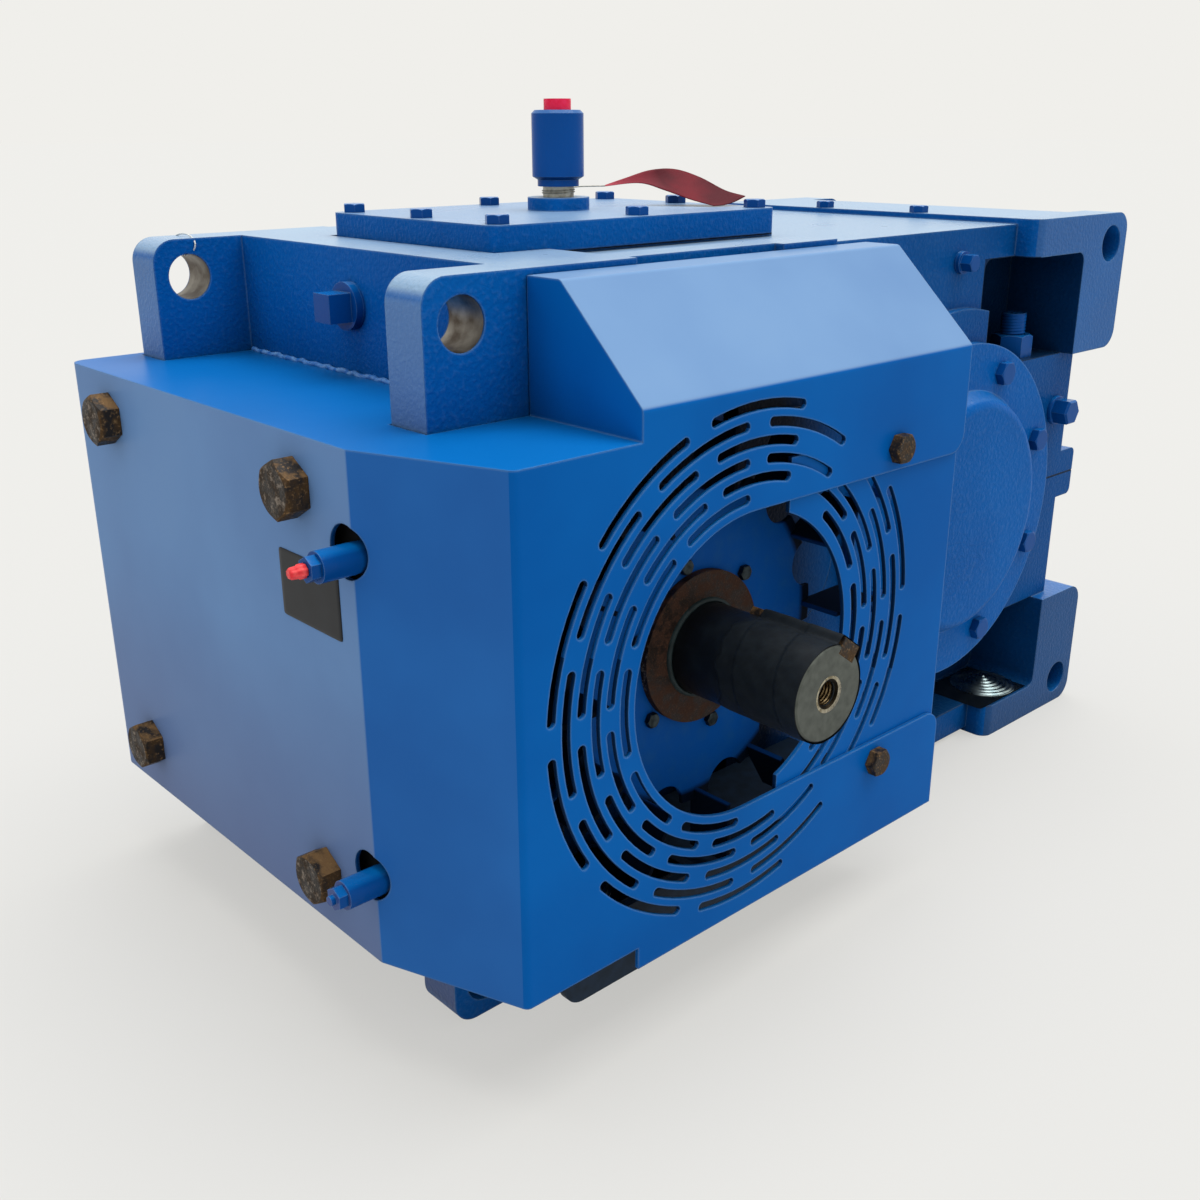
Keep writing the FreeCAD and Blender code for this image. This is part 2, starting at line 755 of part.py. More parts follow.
# Inspection cover with its gasket, bolts and breather
def hatch_box(inset):
    """The cover's outline, drawn in all round by some amount."""
    half_x = hatch_length / 2 - inset
    half_y = hatch_width / 2 - inset
    return box(hatch_x - half_x, hatch_x + half_x, -half_y, half_y)


def hatch_bolt_places():
    half_x = hatch_length / 2 - hatch_bolt_inset
    half_y = hatch_width / 2 - hatch_bolt_inset
    places = []
    for i in (-1, 0, 1):
        for j in (-1, 0, 1):
            if (i, j) != (0, 0):
                places.append((hatch_x + half_x * i, half_y * j))
    return places


def make_hatch():
    body = new_body("inspection_cover")
    pad(body, "Z", hatch_underside, hatch_top, hatch_box(0))
    round_edges(body, hatch_corner, lambda edge, middle: near(edge.Length, hatch_thickness))
    pad(body, "Z", hatch_top, hatch_top + breather_boss, (hatch_x, 0, breather_boss_radius))
    holes = [(x, y, hatch_bolt_radius + fit_gap) for x, y in hatch_bolt_places()]
    cut(body, "Z", hatch_underside, hatch_top, *holes)
    keep(body)
    gasket = new_body("inspection_gasket")
    pad(gasket, "Z", hatch_seat, hatch_underside, hatch_box(hatch_set_in), hatch_box(hatch_land), *holes)
    keep(gasket)
    shank = hatch_thickness + gasket_thickness + hatch_bolt_grip
    bolt = hex_bolt("inspection_bolt", hatch_bolt_flats, hatch_bolt_head, hatch_bolt_radius, shank)
    group("inspection_bolts", bolt, [((x, y, hatch_top), UPWARDS) for x, y in hatch_bolt_places()])


def make_breather():
    neck_low = hatch_top + breather_boss
    low = neck_low + breather_neck
    high = low + breather_length
    neck = turn(new_body("breather_neck"), "Z", tube(0, breather_neck_radius, neck_low, low), hatch_x)
    keep(neck)
    step = breather_radius - breather_edge
    shoulder = low + breather_shoulder
    profile = [(0, low), (breather_shoulder_radius, low), (breather_shoulder_radius, shoulder)]
    profile += [(breather_radius, shoulder + breather_edge), (breather_radius, high - breather_edge)]
    profile += [(step, high), (0, high)]
    keep(turn(new_body("breather_body"), "Z", profile, hatch_x))
    cap = tube(0, breather_cap_radius, high, high + breather_cap_height)
    keep(turn(new_body("breather_cap"), "Z", cap, hatch_x))


# Red tag that hangs on the breather neck and droops on to the inspection cover
tag_width = size("tag_width", 34)
tag_thickness = size("tag_thickness", 1.5)
tag_gap = size("tag_gap", 0.3)
tag_rise = size("tag_rise", 10.5)
tag_top_along = size("tag_top_along", 128)
tag_end_along = size("tag_end_along", 177)
tag_lift = size("tag_lift", 14)
TAG_SWING_DEGREES = 20


def make_tag():
    body = new_body("breather_tag")
    x0 = breather_neck_radius + tag_gap
    x1 = tag_top_along
    x2 = tag_end_along
    z0 = hatch_top + tag_lift
    z1 = z0 + tag_rise
    z2 = hatch_top + tag_thickness
    strip = [(x0, z0), (x1, z1), (x2, z2), (x2, z2 + tag_thickness), (x1, z1 + tag_thickness)]
    strip.append((x0, z0 + tag_thickness))
    pad(body, "Y", -tag_width / 2, tag_width / 2, strip)
    body.Placement.Rotation = FreeCAD.Rotation(UP, -TAG_SWING_DEGREES)
    bind(body, "Placement.Base.x", hatch_x)
    keep(body)


# Screwed plugs with their sealing rings
def plug(label, head, head_height, radius, flange_radius, flange):
    body = new_body(label)
    under = seal_ring
    pad(body, "Z", under, under + flange, (0, 0, flange_radius))
    pad(body, "Z", under + flange, under + flange + head_height, head)
    pad(body, "Z", -plug_grip, under, (0, 0, radius))
    return body


def plug_ring(label, radius, flange_radius):
    ring = new_body(label)
    pad(ring, "Z", 0, seal_ring, (0, 0, flange_radius), (0, 0, radius + fit_gap))
    return ring


def make_plugs():
    half = plug_square / 2
    square_head = box(-half, half, -half, half)
    wall_place = ((-half_length, 0, level(1, plug_height)), TOWARDS_LEFT)
    front_place = ((output_x, -wall_y, level(1, front_plug_height)), TOWARDS_FRONT)
    level_place = ((output_x + level_plug_along, -boss_y, level(1, level_plug_height)), TOWARDS_FRONT)
    sizes = (plug_head, plug_radius, plug_flange_radius, plug_flange)
    square = plug("square_plug_master", square_head, *sizes)
    group("square_plug", square, [wall_place])
    sizes = (small_plug_head, small_plug_radius, small_plug_flange_radius, small_plug_flange)
    small = plug("hex_plug_master", hexagon(plug_hex), *sizes)
    bevel_head(small, plug_hex, seal_ring + small_plug_flange + small_plug_head)
    group("hex_plugs", small, [front_place, level_place])
    ring = plug_ring("square_ring_master", plug_radius, plug_flange_radius)
    group("square_plug_seal", ring, [wall_place])
    ring = plug_ring("hex_ring_master", small_plug_radius, small_plug_flange_radius)
    group("hex_plug_seals", ring, [front_place, level_place])


# Bearing covers, seals and closing caps
def make_output_covers():
    face = boss_y + output_flange
    spigot = output_bore - run_gap
    front = [(0, -bearing_outer_y), (spigot, -bearing_outer_y)]
    front += [(spigot, -boss_y), (output_flange_radius, -boss_y)]
    front += [(output_flange_radius, -face), (output_disc_radius + output_disc_slope, -face)]
    front += [(output_disc_radius, -face - output_disc), (0, -face - output_disc)]
    body = turn(new_body("output_blank_cover"), "Y", front, output_x, 0, centre_height)
    crown = -face - output_disc

    def disc_rim(edge, middle):
        return near(middle.y, crown) and edge.Length > output_disc_radius.value

    round_edges(body, output_disc_slope, disc_rim)
    drill_cover(body, output_bolt_circle, OUTPUT_BOLTS, -face, -boss_y)
    keep(body)
    bore = output_journal + seal_thickness
    nose = face + seal_width
    rear = [(bore, bearing_outer_y), (spigot, bearing_outer_y)]
    rear += [(spigot, boss_y), (output_flange_radius, boss_y)]
    rear += [(output_flange_radius, face), (output_disc_radius, face)]
    rear += [(output_disc_radius, nose), (bore, nose)]
    body = turn(new_body("output_seal_cover"), "Y", rear, output_x, 0, centre_height)
    drill_cover(body, output_bolt_circle, OUTPUT_BOLTS, boss_y, face)
    keep(body)
    lip = tube(output_journal + run_gap, bore - fit_gap, face, nose)
    keep(turn(new_body("output_seal"), "Y", lip, output_x, 0, centre_height))


def make_input_covers():
    face = boss_y + input_flange
    spigot = input_bore - run_gap
    bore = input_journal + seal_thickness
    front = [(bore, -bearing_outer_y), (spigot, -bearing_outer_y)]
    front += [(spigot, -boss_y), (input_flange_radius, -boss_y)]
    front += [(input_flange_radius, -face), (bore, -face)]
    body = turn(new_body("input_seal_cover"), "Y", front, input_x, 0, centre_height)
    drill_cover(body, input_bolt_circle, INPUT_BOLTS, -face, -boss_y)
    keep(body)
    lip = tube(input_journal + run_gap, bore - fit_gap, -face, seal_width - face)
    keep(turn(new_body("input_seal"), "Y", lip, input_x, 0, centre_height))
    rear = [(0, bearing_outer_y), (spigot, bearing_outer_y)]
    rear += [(spigot, boss_y), (input_flange_radius, boss_y)]
    rear += [(input_flange_radius, face), (0, face)]
    body = turn(new_body("input_blank_cover"), "Y", rear, input_x, 0, centre_height)
    drill_cover(body, input_bolt_circle, INPUT_BOLTS, boss_y, face)
    keep(body)


def drill_cover(body, circle, count, low, high):
    holes = []
    for step in range(count):
        angle = math.radians((step + 0.5) * 360 / count)
        holes.append((circle * math.cos(angle), circle * math.sin(angle), cover_bolt_radius + fit_gap))
    cut(body, "Y", low, high, *holes)


def make_cover_bolts():
    shank = output_flange + cover_bolt_grip
    bolt = hex_bolt("output_bolt", cover_bolt_flats, cover_bolt_head, cover_bolt_radius, shank)
    face = boss_y + output_flange
    spots = [((x, -face, z), TOWARDS_FRONT) for x, z in output_bolt_places()]
    group("output_blank_cover_bolts", bolt, spots)
    spots = [((x, face, z), TOWARDS_BACK) for x, z in output_bolt_places()]
    group("output_seal_cover_bolts", bolt, spots)
    face = boss_y + input_flange
    shank = input_flange + cover_bolt_grip
    bolt = hex_bolt("input_bolt", cover_bolt_flats, cover_bolt_head, cover_bolt_radius, shank)
    spots = [((x, -face, z), TOWARDS_FRONT) for x, z in input_bolt_places()]
    spots += [((x, face, z), TOWARDS_BACK) for x, z in input_bolt_places()]
    group("input_cover_bolts", bolt, spots)


def make_middle_caps():
    cap = turn(new_body("middle_cap"), "Z", tube(0, middle_bore - run_gap, 0, cover_spigot))
    spots = [((middle_x, -bearing_outer_y, centre_height), TOWARDS_FRONT)]
    spots.append(((middle_x, bearing_outer_y, centre_height), TOWARDS_BACK))
    group("middle_bore_caps", cap, spots)


# Bearings: outer rings stay in the housing, inner rings turn with their shaft, roller rings run between
def make_bearing(name, x, bore, journal):
    outer = tube(bore - race_thickness, bore - fit_gap, 0, bearing_width)
    inner = tube(journal + fit_gap, journal + race_thickness, 0, bearing_width)
    inside = journal + race_thickness + run_gap
    outside = bore - race_thickness - run_gap
    rollers = tube(inside, outside, run_gap, bearing_width - run_gap)
    spots = [((x, -bearing_outer_y, centre_height), TOWARDS_BACK)]
    spots.append(((x, bearing_outer_y, centre_height), TOWARDS_FRONT))
    for ring, profile in (("outer_rings", outer), ("inner_rings", inner), ("roller_rings", rollers)):
        master = turn(new_body(f"{name}_{ring}_master"), "Z", profile)
        group(f"{name}_bearing_{ring}", master, spots)


# Helical gears: each tooth is a straight-flanked stub that stands in the spaces of its mate
def tooth_outline(teeth, pitch_radius, y, turn_degrees, tooth_first):
    """Corners of one end of a gear, with a tooth or a space facing the mate."""
    module = 2 * pitch_radius / teeth
    tip = pitch_radius + ADDENDUM * module
    root = pitch_radius - DEDENDUM * module
    half_pitch = math.pi / (2 * teeth) - gear_backlash.value / (2 * pitch_radius)
    slope = math.tan(math.radians(PRESSURE_DEGREES))
    corners = []
    for number in range(teeth):
        middle = 2 * math.pi * number / teeth + math.radians(turn_degrees)
        if not tooth_first:
            middle += math.pi / teeth
        for radius, side in ((root, -1), (tip, -1), (tip, 1), (root, 1)):
            narrow = slope * (radius - pitch_radius) / radius
            angle = middle + side * (half_pitch - narrow)
            corners.append(FreeCAD.Vector(radius * math.cos(angle), y, radius * math.sin(angle)))
    corners.append(corners[0])
    return Part.makePolygon(corners)


def gear_blank(label, teeth, pitch_radius, low, high, hand, tooth_first, facing):
    """A helical gear between two places along its shaft; facing is the direction of its mate in degrees."""
    width = (high - low).value
    twist = hand * math.degrees(width * math.tan(math.radians(HELIX_DEGREES)) / pitch_radius.value)
    first = tooth_outline(teeth, pitch_radius.value, low.value, facing - twist / 2, tooth_first)
    last = tooth_outline(teeth, pitch_radius.value, high.value, facing + twist / 2, tooth_first)
    item = doc.addObject("Part::Feature", label)
    item.Label = label
    item.Shape = Part.makeLoft([first, last], True, True)
    return item


def at_axis(item, x):
    bind(item, "Placement.Base.x", x)
    bind(item, "Placement.Base.z", centre_height)
    return item


stage_one_low = -stage_gap / 2 - stage_one_width
stage_one_high = -stage_gap / 2
stage_two_low = stage_gap / 2
stage_two_high = stage_gap / 2 + stage_two_width
input_pitch = stage_one_centres * (INPUT_TEETH / (INPUT_TEETH + MIDDLE_TEETH))
middle_pitch = stage_one_centres - input_pitch
pinion_pitch = stage_two_centres * (MIDDLE_PINION_TEETH / (MIDDLE_PINION_TEETH + OUTPUT_TEETH))
output_pitch = stage_two_centres - pinion_pitch
TOWARDS_OUTPUT = 0
TOWARDS_INPUT = 180


def key_block(label, x, radius, low, high, top):
    """A square-ended key on top of a shaft, from its seat up to a height above the shaft axis."""
    body = new_body(label)
    pad(body, "Z", radius - key_sunk, top, box(-key_width / 2, key_width / 2, low, high))
    return at_axis(body, x)


def tapped_end(end, inward, radius):
    """Half profile of a shaft end: a countersunk centre hole, the end face and its chamfer."""
    deep = end + centre_depth * inward
    mouth = end + (centre_mouth_radius - centre_thread_radius) * inward
    corners = [(0, deep), (centre_thread_radius, deep)]
    corners += [(centre_thread_radius, mouth), (centre_mouth_radius, end)]
    return corners + [(radius - end_chamfer, end), (radius, end + end_chamfer * inward)]


def make_input_line():
    end = cowl_front_y - input_reach
    step = fan_y + fan_sheet + fan_hub_length
    waist = input_journal + race_thickness / 2
    profile = tapped_end(end, 1, input_end_radius) + [(input_end_radius, step), (input_journal, step)]
    profile += [(input_journal, -bearing_inner_y), (waist, -bearing_inner_y), (waist, bearing_inner_y)]
    profile += [(input_journal, bearing_inner_y), (input_journal, bearing_outer_y), (0, bearing_outer_y)]
    body = turn(new_body("input_shaft_turned"), "Y", profile, input_x, 0, centre_height)
    key_end = end + input_reach + fan_setback / 4
    key_low = input_end_radius - key_sunk
    key_box = box(-key_width / 2, key_width / 2, end - past, key_end + fit_gap)
    cut(body, "Z", key_low, input_end_radius + past, key_box)
    key_turn = FreeCAD.Rotation(FreeCAD.Vector(*TOWARDS_BACK), INPUT_KEY_DEGREES)
    body.Placement.Rotation = key_turn
    wheel = (INPUT_TEETH, input_pitch, stage_one_low, stage_one_high)
    pinion = gear_blank("input_pinion", *wheel, 1, True, TOWARDS_OUTPUT)
    at_axis(pinion, input_x)
    joined("input_shaft", "Part::MultiFuse", body, pinion)
    top = input_end_radius + key_height - key_sunk
    key = key_block("input_key", input_x, input_end_radius, end, key_end, top)
    key.Placement.Rotation = key_turn
    keep(key)
    make_fan()


def make_fan():
    """Fan: a disc with round notches in its edge and a radial plate blade on each tab between them."""
    front = fan_y
    back = fan_y + fan_sheet
    body = new_body("fan_wheel")
    pad(body, "Y", front, back, (0, 0, fan_disc_radius), (0, 0, input_end_radius + fit_gap))
    notch_centre = fan_notch_start + fan_notch_round
    steps = range(FAN_BLADES)
    notches = [spoke(notch_centre, 0, step + 0.5) + (fan_notch_round,) for step in steps]
    cut(body, "Y", front, back, *notches)
    tip = fan_radius - fan_sheet
    half = fan_sheet / 2
    blades = [spoke_box(fan_blade_start, tip, -half, half, step) for step in steps]
    pad(body, "Y", front - fan_blade_depth, back, *blades)
    angles = [FAN_BOLT_START + step * 360 / FAN_BOLTS for step in range(FAN_BOLTS)]
    holes = [spoke_at(fan_bolt_circle, angle) for angle in angles]
    bolt_holes = [(x, z, cover_bolt_radius / 2 + fit_gap) for x, z in holes]
    cut(body, "Y", front, back, *bolt_holes)
    keep(at_axis(body, input_x))
    hub = tube(input_end_radius + fit_gap, fan_hub_radius, back, back + fan_hub_length)
    hub_body = turn(new_body("fan_hub"), "Y", hub, input_x, 0, centre_height)
    cut(hub_body, "Y", back, back + hub_wall + past, *bolt_holes)
    keep(hub_body)
    ring = tube(input_end_radius + fit_gap, labyrinth_radius, front - labyrinth_thickness, front)
    keep(turn(new_body("fan_clamp_ring"), "Y", ring, input_x, 0, centre_height))
    sizes = (cover_bolt_flats / 2, cover_bolt_head / 2, cover_bolt_radius / 2)
    bolt = hex_bolt("fan_bolt", *sizes, fan_sheet + hub_wall)
    group("fan_bolts", bolt, [((input_x + x, front, centre_height + z), TOWARDS_FRONT) for x, z in holes])


def spoke(radius, across, step):
    """A point out along one fan blade's own radius, and aside from it."""
    angle = math.radians(FAN_TURN_DEGREES + step * 360 / FAN_BLADES)
    cosine = math.cos(angle)
    sine = math.sin(angle)
    return (radius * cosine - across * sine, radius * sine + across * cosine)


def spoke_box(near_end, far_end, low, high, step):
    """A rectangle that runs out along one fan blade's radius."""
    corners = [(near_end, low), (far_end, low), (far_end, high), (near_end, high)]
    return [spoke(out, aside, step) for out, aside in corners]


def spoke_at(radius, degrees):
    return (radius * math.cos(math.radians(degrees)), radius * math.sin(math.radians(degrees)))


def bored_gear(label, blank, x, bore, low, high):
    """A gear bored for its shaft, with a slot over the key."""
    hole = turn(new_body(f"{label}_bore"), "Y", tube(0, bore, low - past, high + past), x, 0, centre_height)
    top = bore + key_height - key_sunk + fit_gap
    slot = key_block(f"{label}_slot", x, bore, low - past, high + past, top)
    both = doc.addObject("Part::MultiFuse", f"{label}_tool")
    both.Shapes = [hole, slot]
    return joined(label, "Part::Cut", at_axis(blank, x), both)


def make_middle_line():
    waist = middle_journal + race_thickness
    profile = [(0, -bearing_outer_y), (middle_journal, -bearing_outer_y)]
    profile += [(middle_journal, -bearing_inner_y)]
    profile += [(waist, -bearing_inner_y), (waist, bearing_inner_y), (middle_journal, bearing_inner_y)]
    profile += [(middle_journal, bearing_outer_y), (0, bearing_outer_y)]
    body = turn(new_body("middle_shaft_turned"), "Y", profile, middle_x, 0, centre_height)
    key_box = box(-key_width / 2, key_width / 2, stage_one_low, stage_one_high)
    cut(body, "Z", waist - key_sunk, waist + past, key_box)
    wheel = (MIDDLE_PINION_TEETH, pinion_pitch, stage_two_low, stage_two_high)
    teeth = gear_blank("middle_pinion", *wheel, 1, True, TOWARDS_OUTPUT)
    at_axis(teeth, middle_x)
    joined("middle_shaft", "Part::MultiFuse", body, teeth)
    wheel = (MIDDLE_TEETH, middle_pitch, stage_one_low, stage_one_high)
    blank = gear_blank("middle_gear_blank", *wheel, -1, False, TOWARDS_INPUT)
    bored_gear("middle_gear", blank, middle_x, waist + fit_gap, stage_one_low, stage_one_high)
    top = waist + key_height - key_sunk
    keep(key_block("middle_gear_key", middle_x, waist, stage_one_low, stage_one_high, top))


def make_output_line():
    waist = output_journal + race_thickness
    end = boss_y + output_flange + seal_width + output_end_length
    shoulder = boss_y + output_flange + seal_width
    profile = [(0, -bearing_outer_y), (output_journal, -bearing_outer_y)]
    profile += [(output_journal, -bearing_inner_y)]
    profile += [(waist, -bearing_inner_y), (waist, bearing_inner_y), (output_journal, bearing_inner_y)]
    profile += [(output_journal, shoulder), (output_end_radius, shoulder)]
    profile += tapped_end(end, -1, output_end_radius)[::-1]
    body = turn(new_body("output_shaft"), "Y", profile, output_x, 0, centre_height)
    gear_key = box(-key_width / 2, key_width / 2, stage_two_low, stage_two_high)
    cut(body, "Z", waist - key_sunk, waist + past, gear_key)
    key_low = end - output_end_length + key_width
    end_key = box(-key_width / 2, key_width / 2, key_low - fit_gap, end - key_width / 2)
    cut(body, "Z", output_end_radius - key_sunk, output_end_radius + past, end_key)
    keep(body)
    wheel = (OUTPUT_TEETH, output_pitch, stage_two_low, stage_two_high)
    blank = gear_blank("output_gear_blank", *wheel, -1, False, TOWARDS_INPUT)
    bored_gear("output_gear", blank, output_x, waist + fit_gap, stage_two_low, stage_two_high)
    top = waist + key_height - key_sunk
    keep(key_block("output_gear_key", output_x, waist, stage_two_low, stage_two_high, top))
    top = output_end_radius + key_height - key_sunk
    keep(key_block("output_key", output_x, output_end_radius, key_low, end - key_width / 2, top))


# Fan cowl: folded sheet round the fan end, with a hood, a slotted front panel and a side opening
def slot_angles(ring):
    offset = 180 / SLOTS_PER_RING if ring % 2 else 0
    return [offset + step * 360 / SLOTS_PER_RING for step in range(SLOTS_PER_RING)]


def slot_prism(radius, degrees, low, high):
    """An arched slot with round ends, centred on an angle from the top of the ring."""
    half = slot_width.value / 2
    lean = math.degrees(half / radius)
    ends = (degrees - SLOT_HALF_DEGREES + lean, degrees + SLOT_HALF_DEGREES - lean)
    middle = FreeCAD.Vector(input_x.value, low.value, centre_height.value)

    def point(distance, angle):
        across = FreeCAD.Vector(math.sin(math.radians(angle)), 0, math.cos(math.radians(angle)))
        return middle + across * distance

    def cap(angle, outward):
        tip = angle + outward * lean
        arc = Part.Arc(point(radius + half, angle), point(radius, tip), point(radius - half, angle))
        return arc.toShape()

    angles = (ends[0], degrees, ends[1])
    outer = Part.Arc(*[point(radius + half, angle) for angle in angles])
    inner = Part.Arc(*[point(radius - half, angle) for angle in angles])
    edges = [outer.toShape(), cap(ends[1], 1), inner.toShape(), cap(ends[0], -1)]
    wire = Part.Wire(Part.__sortEdges__(edges))
    return Part.Face(wire).extrude(FreeCAD.Vector(0, (high - low).value, 0))


def slot_reach(radius, degrees):
    """Lowest and highest offset of a slot from the shaft axis, across and up."""
    half = slot_width.value / 2
    spots = [math.radians(degrees + SLOT_HALF_DEGREES * part) for part in (-1, -0.5, 0, 0.5, 1)]
    across = [(radius + side * half) * math.sin(angle) for angle in spots for side in SIDES]
    upward = [(radius + side * half) * math.cos(angle) for angle in spots for side in SIDES]
    return min(across), max(across), min(upward), max(upward)


def slot_tool(label, low, high, wanted):
    """All slots of the pattern that pass a test, as one cutting tool."""
    prisms = []
    for ring in range(SLOT_RINGS):
        radius = slot_outer_ring.value - ring * slot_ring_pitch.value
        for degrees in slot_angles(ring):
            if wanted(*slot_reach(radius, degrees)):
                prisms.append(slot_prism(radius, degrees, low, high))
    item = doc.addObject("Part::Feature", label)
    item.Label = label
    item.Shape = Part.makeCompound(prisms)
    return item


def on_front_panel(left, right, low, high):
    edge = shaft_opening.value + slot_margin.value
    return right < 0 or low > edge or high < -edge


def on_access_plate(left, right, low, high):
    edge = shaft_opening.value + access_overlap.value - slot_margin.value
    return left > access_start.value + slot_margin.value and high < edge and low > -edge


def make_cowl():
    body = new_body("cowl_sheet")
    inner_y = -half_width - cowl_gap
    inner_x = -half_length - cowl_gap
    low = centre_height - skirt_depth
    shelf = centre_height + shelf_height
    fold = centre_height + fold_height
    top = centre_height + hood_height
    plan = [(cowl_left_x, cowl_back_y), (cowl_left_x, cowl_chamfer_y), (cowl_chamfer_x, cowl_front_y)]
    plan += [(panel_right_x, cowl_front_y), (panel_right_x, inner_y)]
    plan += [(inner_x, inner_y), (inner_x, cowl_back_y)]
    pad(body, "Z", low, shelf, plan)
    hood = [(cowl_front_y, shelf - past), (cowl_front_y, fold), (hood_fold_y, top), (inner_y, top)]
    hood.append((inner_y, shelf - past))
    pad(body, "X", hood_left_x, panel_right_x, hood)
    round_cowl_folds(body, fold, top)
    lean = math.atan2(chamfer_along.value, chamfer_across.value)
    fold_one = math.tan(lean / 2)
    fold_two = math.tan(math.pi / 4 - lean / 2)
    inside = [(cowl_left_x + sheet_metal, cowl_back_y - sheet_metal)]
    inside.append((cowl_left_x + sheet_metal, cowl_chamfer_y + sheet_metal * fold_one))
    inside.append((cowl_chamfer_x + sheet_metal * fold_two, cowl_front_y + sheet_metal))
    inside += [(panel_right_x + past, cowl_front_y + sheet_metal), (panel_right_x + past, inner_y + past)]
    inside += [(inner_x + past, inner_y + past), (inner_x + past, cowl_back_y - sheet_metal)]
    cut(body, "Z", low, shelf - sheet_metal, inside)
    slope = math.atan2((hood_fold_y - cowl_front_y).value, (hood_height - fold_height).value)
    inside_y = cowl_front_y + sheet_metal
    hollow = [(inside_y, low), (inside_y, fold - sheet_metal * math.tan(slope / 2))]
    hollow.append((hood_fold_y + sheet_metal * math.tan(math.pi / 4 - slope / 2), top - sheet_metal))
    hollow += [(inner_y + past, top - sheet_metal), (inner_y + past, low)]
    cut(body, "X", hood_left_x + sheet_metal, panel_right_x - sheet_metal, hollow)
    drop = box(hood_left_x, panel_right_x, low - panel_drop, low + past)
    pad(body, "Y", cowl_front_y, cowl_front_y + sheet_metal, drop)
    cut_cowl_openings(body, shelf, inner_x)
    tool = slot_tool("cowl_slots", cowl_front_y - past, cowl_front_y + sheet_metal + past, on_front_panel)
    joined("fan_cowl", "Part::Cut", body, tool)


def round_cowl_folds(body, fold, top):
    upright = [(cowl_left_x, cowl_chamfer_y), (cowl_chamfer_x, cowl_front_y)]

    def stands(edge, middle):
        return any(near(middle.x, x) and near(middle.y, y) for x, y in upright)

    round_edges(body, fold_radius, stands)

    def back_fold(edge, middle):
        return near(middle.x, cowl_left_x) and near(middle.y, cowl_back_y)

    round_edges(body, back_corner, back_fold)

    def hood_folds(edge, middle):
        lower = near(middle.y, cowl_front_y) and near(middle.z, fold)
        return lower or (near(middle.y, hood_fold_y) and near(middle.z, top))

    round_edges(body, fold_radius, hood_folds)


def cut_cowl_openings(body, shelf, inner_x):
    lug_end = -half_length - lug_over_left - cowl_gap
    for across in SIDES:
        low, high = mirrored(across, lug_inner_y - cowl_gap, half_width + cowl_gap)
        cut(body, "Z", shelf - sheet_metal - past, shelf + past, box(lug_end, inner_x + past, low, high))
    back = cowl_front_y + sheet_metal
    cut(body, "Y", cowl_front_y - past, back + past, (input_x, centre_height, shaft_opening))
    low = centre_height - shaft_opening
    side_opening = box(input_x, panel_right_x + past, low, centre_height + shaft_opening)
    cut(body, "Y", cowl_front_y - past, back + past, side_opening)

    def arm_ends(edge, middle):
        return near(middle.x, panel_right_x) and near(abs(middle.z - centre_height.value), shaft_opening)

    round_edges(body, arm_corner, arm_ends)
    bolt_x = input_x + access_bolt_along
    holes = [(bolt_x, level(side, access_bolt_up), cover_bolt_radius) for side in SIDES]
    cut(body, "Y", cowl_front_y - past, back + past, *holes)
    holes = [(y, z, cowl_bolt_radius + run_gap) for y, z in cowl_bolt_places()]
    cut(body, "X", cowl_left_x - past, cowl_left_x + sheet_metal + past, *holes)
    hole_y = cowl_chamfer_y + grease_hole_shift
    heights = [level(side, grease_height) - grease_hole_drop for side in SIDES]
    holes = [(hole_y, height, grease_hole) for height in heights]
    cut(body, "X", cowl_left_x - past, cowl_chamfer_x, *holes)


def make_access_plate():
    body = new_body("access_sheet")
    front = cowl_front_y + sheet_metal
    back = front + sheet_metal
    reach = shaft_opening + access_overlap
    right = panel_right_x - sheet_metal
    plate = box(input_x + access_start, right, centre_height - reach, centre_height + reach)
    pad(body, "Y", front, back, plate)
    cut(body, "Y", front, back, (input_x, centre_height, shaft_opening - slot_margin / 2))
    bolt_x = input_x + access_bolt_along
    holes = [(bolt_x, level(side, access_bolt_up), cover_bolt_radius) for side in SIDES]
    cut(body, "Y", front, back, *holes)
    tool = slot_tool("access_slots", front - past, back + past, on_access_plate)
    joined("cowl_access_plate", "Part::Cut", body, tool)
    grip = sheet_metal * 2 + cover_bolt_grip
    bolt = hex_bolt("access_bolt", cover_bolt_flats, cover_bolt_head, cover_bolt_radius - fit_gap, grip)
    spots = [((x, cowl_front_y, z), TOWARDS_FRONT) for x, z, radius in holes]
    group("access_plate_bolts", bolt, spots)


def cowl_bolt_places():
    corners = [(across, side) for side in SIDES for across in SIDES]
    return [(across * cowl_bolt_spread, level(side, cowl_bolt_spread)) for across, side in corners]


def make_cowl_mounting():
    bolt = hex_bolt("cowl_bolt", cowl_bolt_flats, cowl_bolt_head, cowl_bolt_radius, cowl_bolt_length)
    group("cowl_bolts", bolt, [((cowl_left_x, y, z), TOWARDS_LEFT) for y, z in cowl_bolt_places()])
    length = cowl_left - sheet_metal
    spacer = new_body("cowl_spacer")
    pad(spacer, "Z", 0, length, (0, 0, spacer_radius))
    cut(spacer, "Z", length - cowl_bolt_length - past, length, (0, 0, cowl_bolt_radius + fit_gap))
    group("cowl_spacers", spacer, [((-half_length, y, z), TOWARDS_LEFT) for y, z in cowl_bolt_places()])


# Bracket bar under the fan end that carries the foot of the front panel
bracket_left = size("bracket_left", 170)
bracket_right = size("bracket_right", 250)
bracket_setback = size("bracket_setback", 40)
bracket_bottom = size("bracket_bottom", 274)
bracket_top = size("bracket_top", 205)
bracket_plate = size("bracket_plate", 8)
bracket_corner = size("bracket_corner", 20)


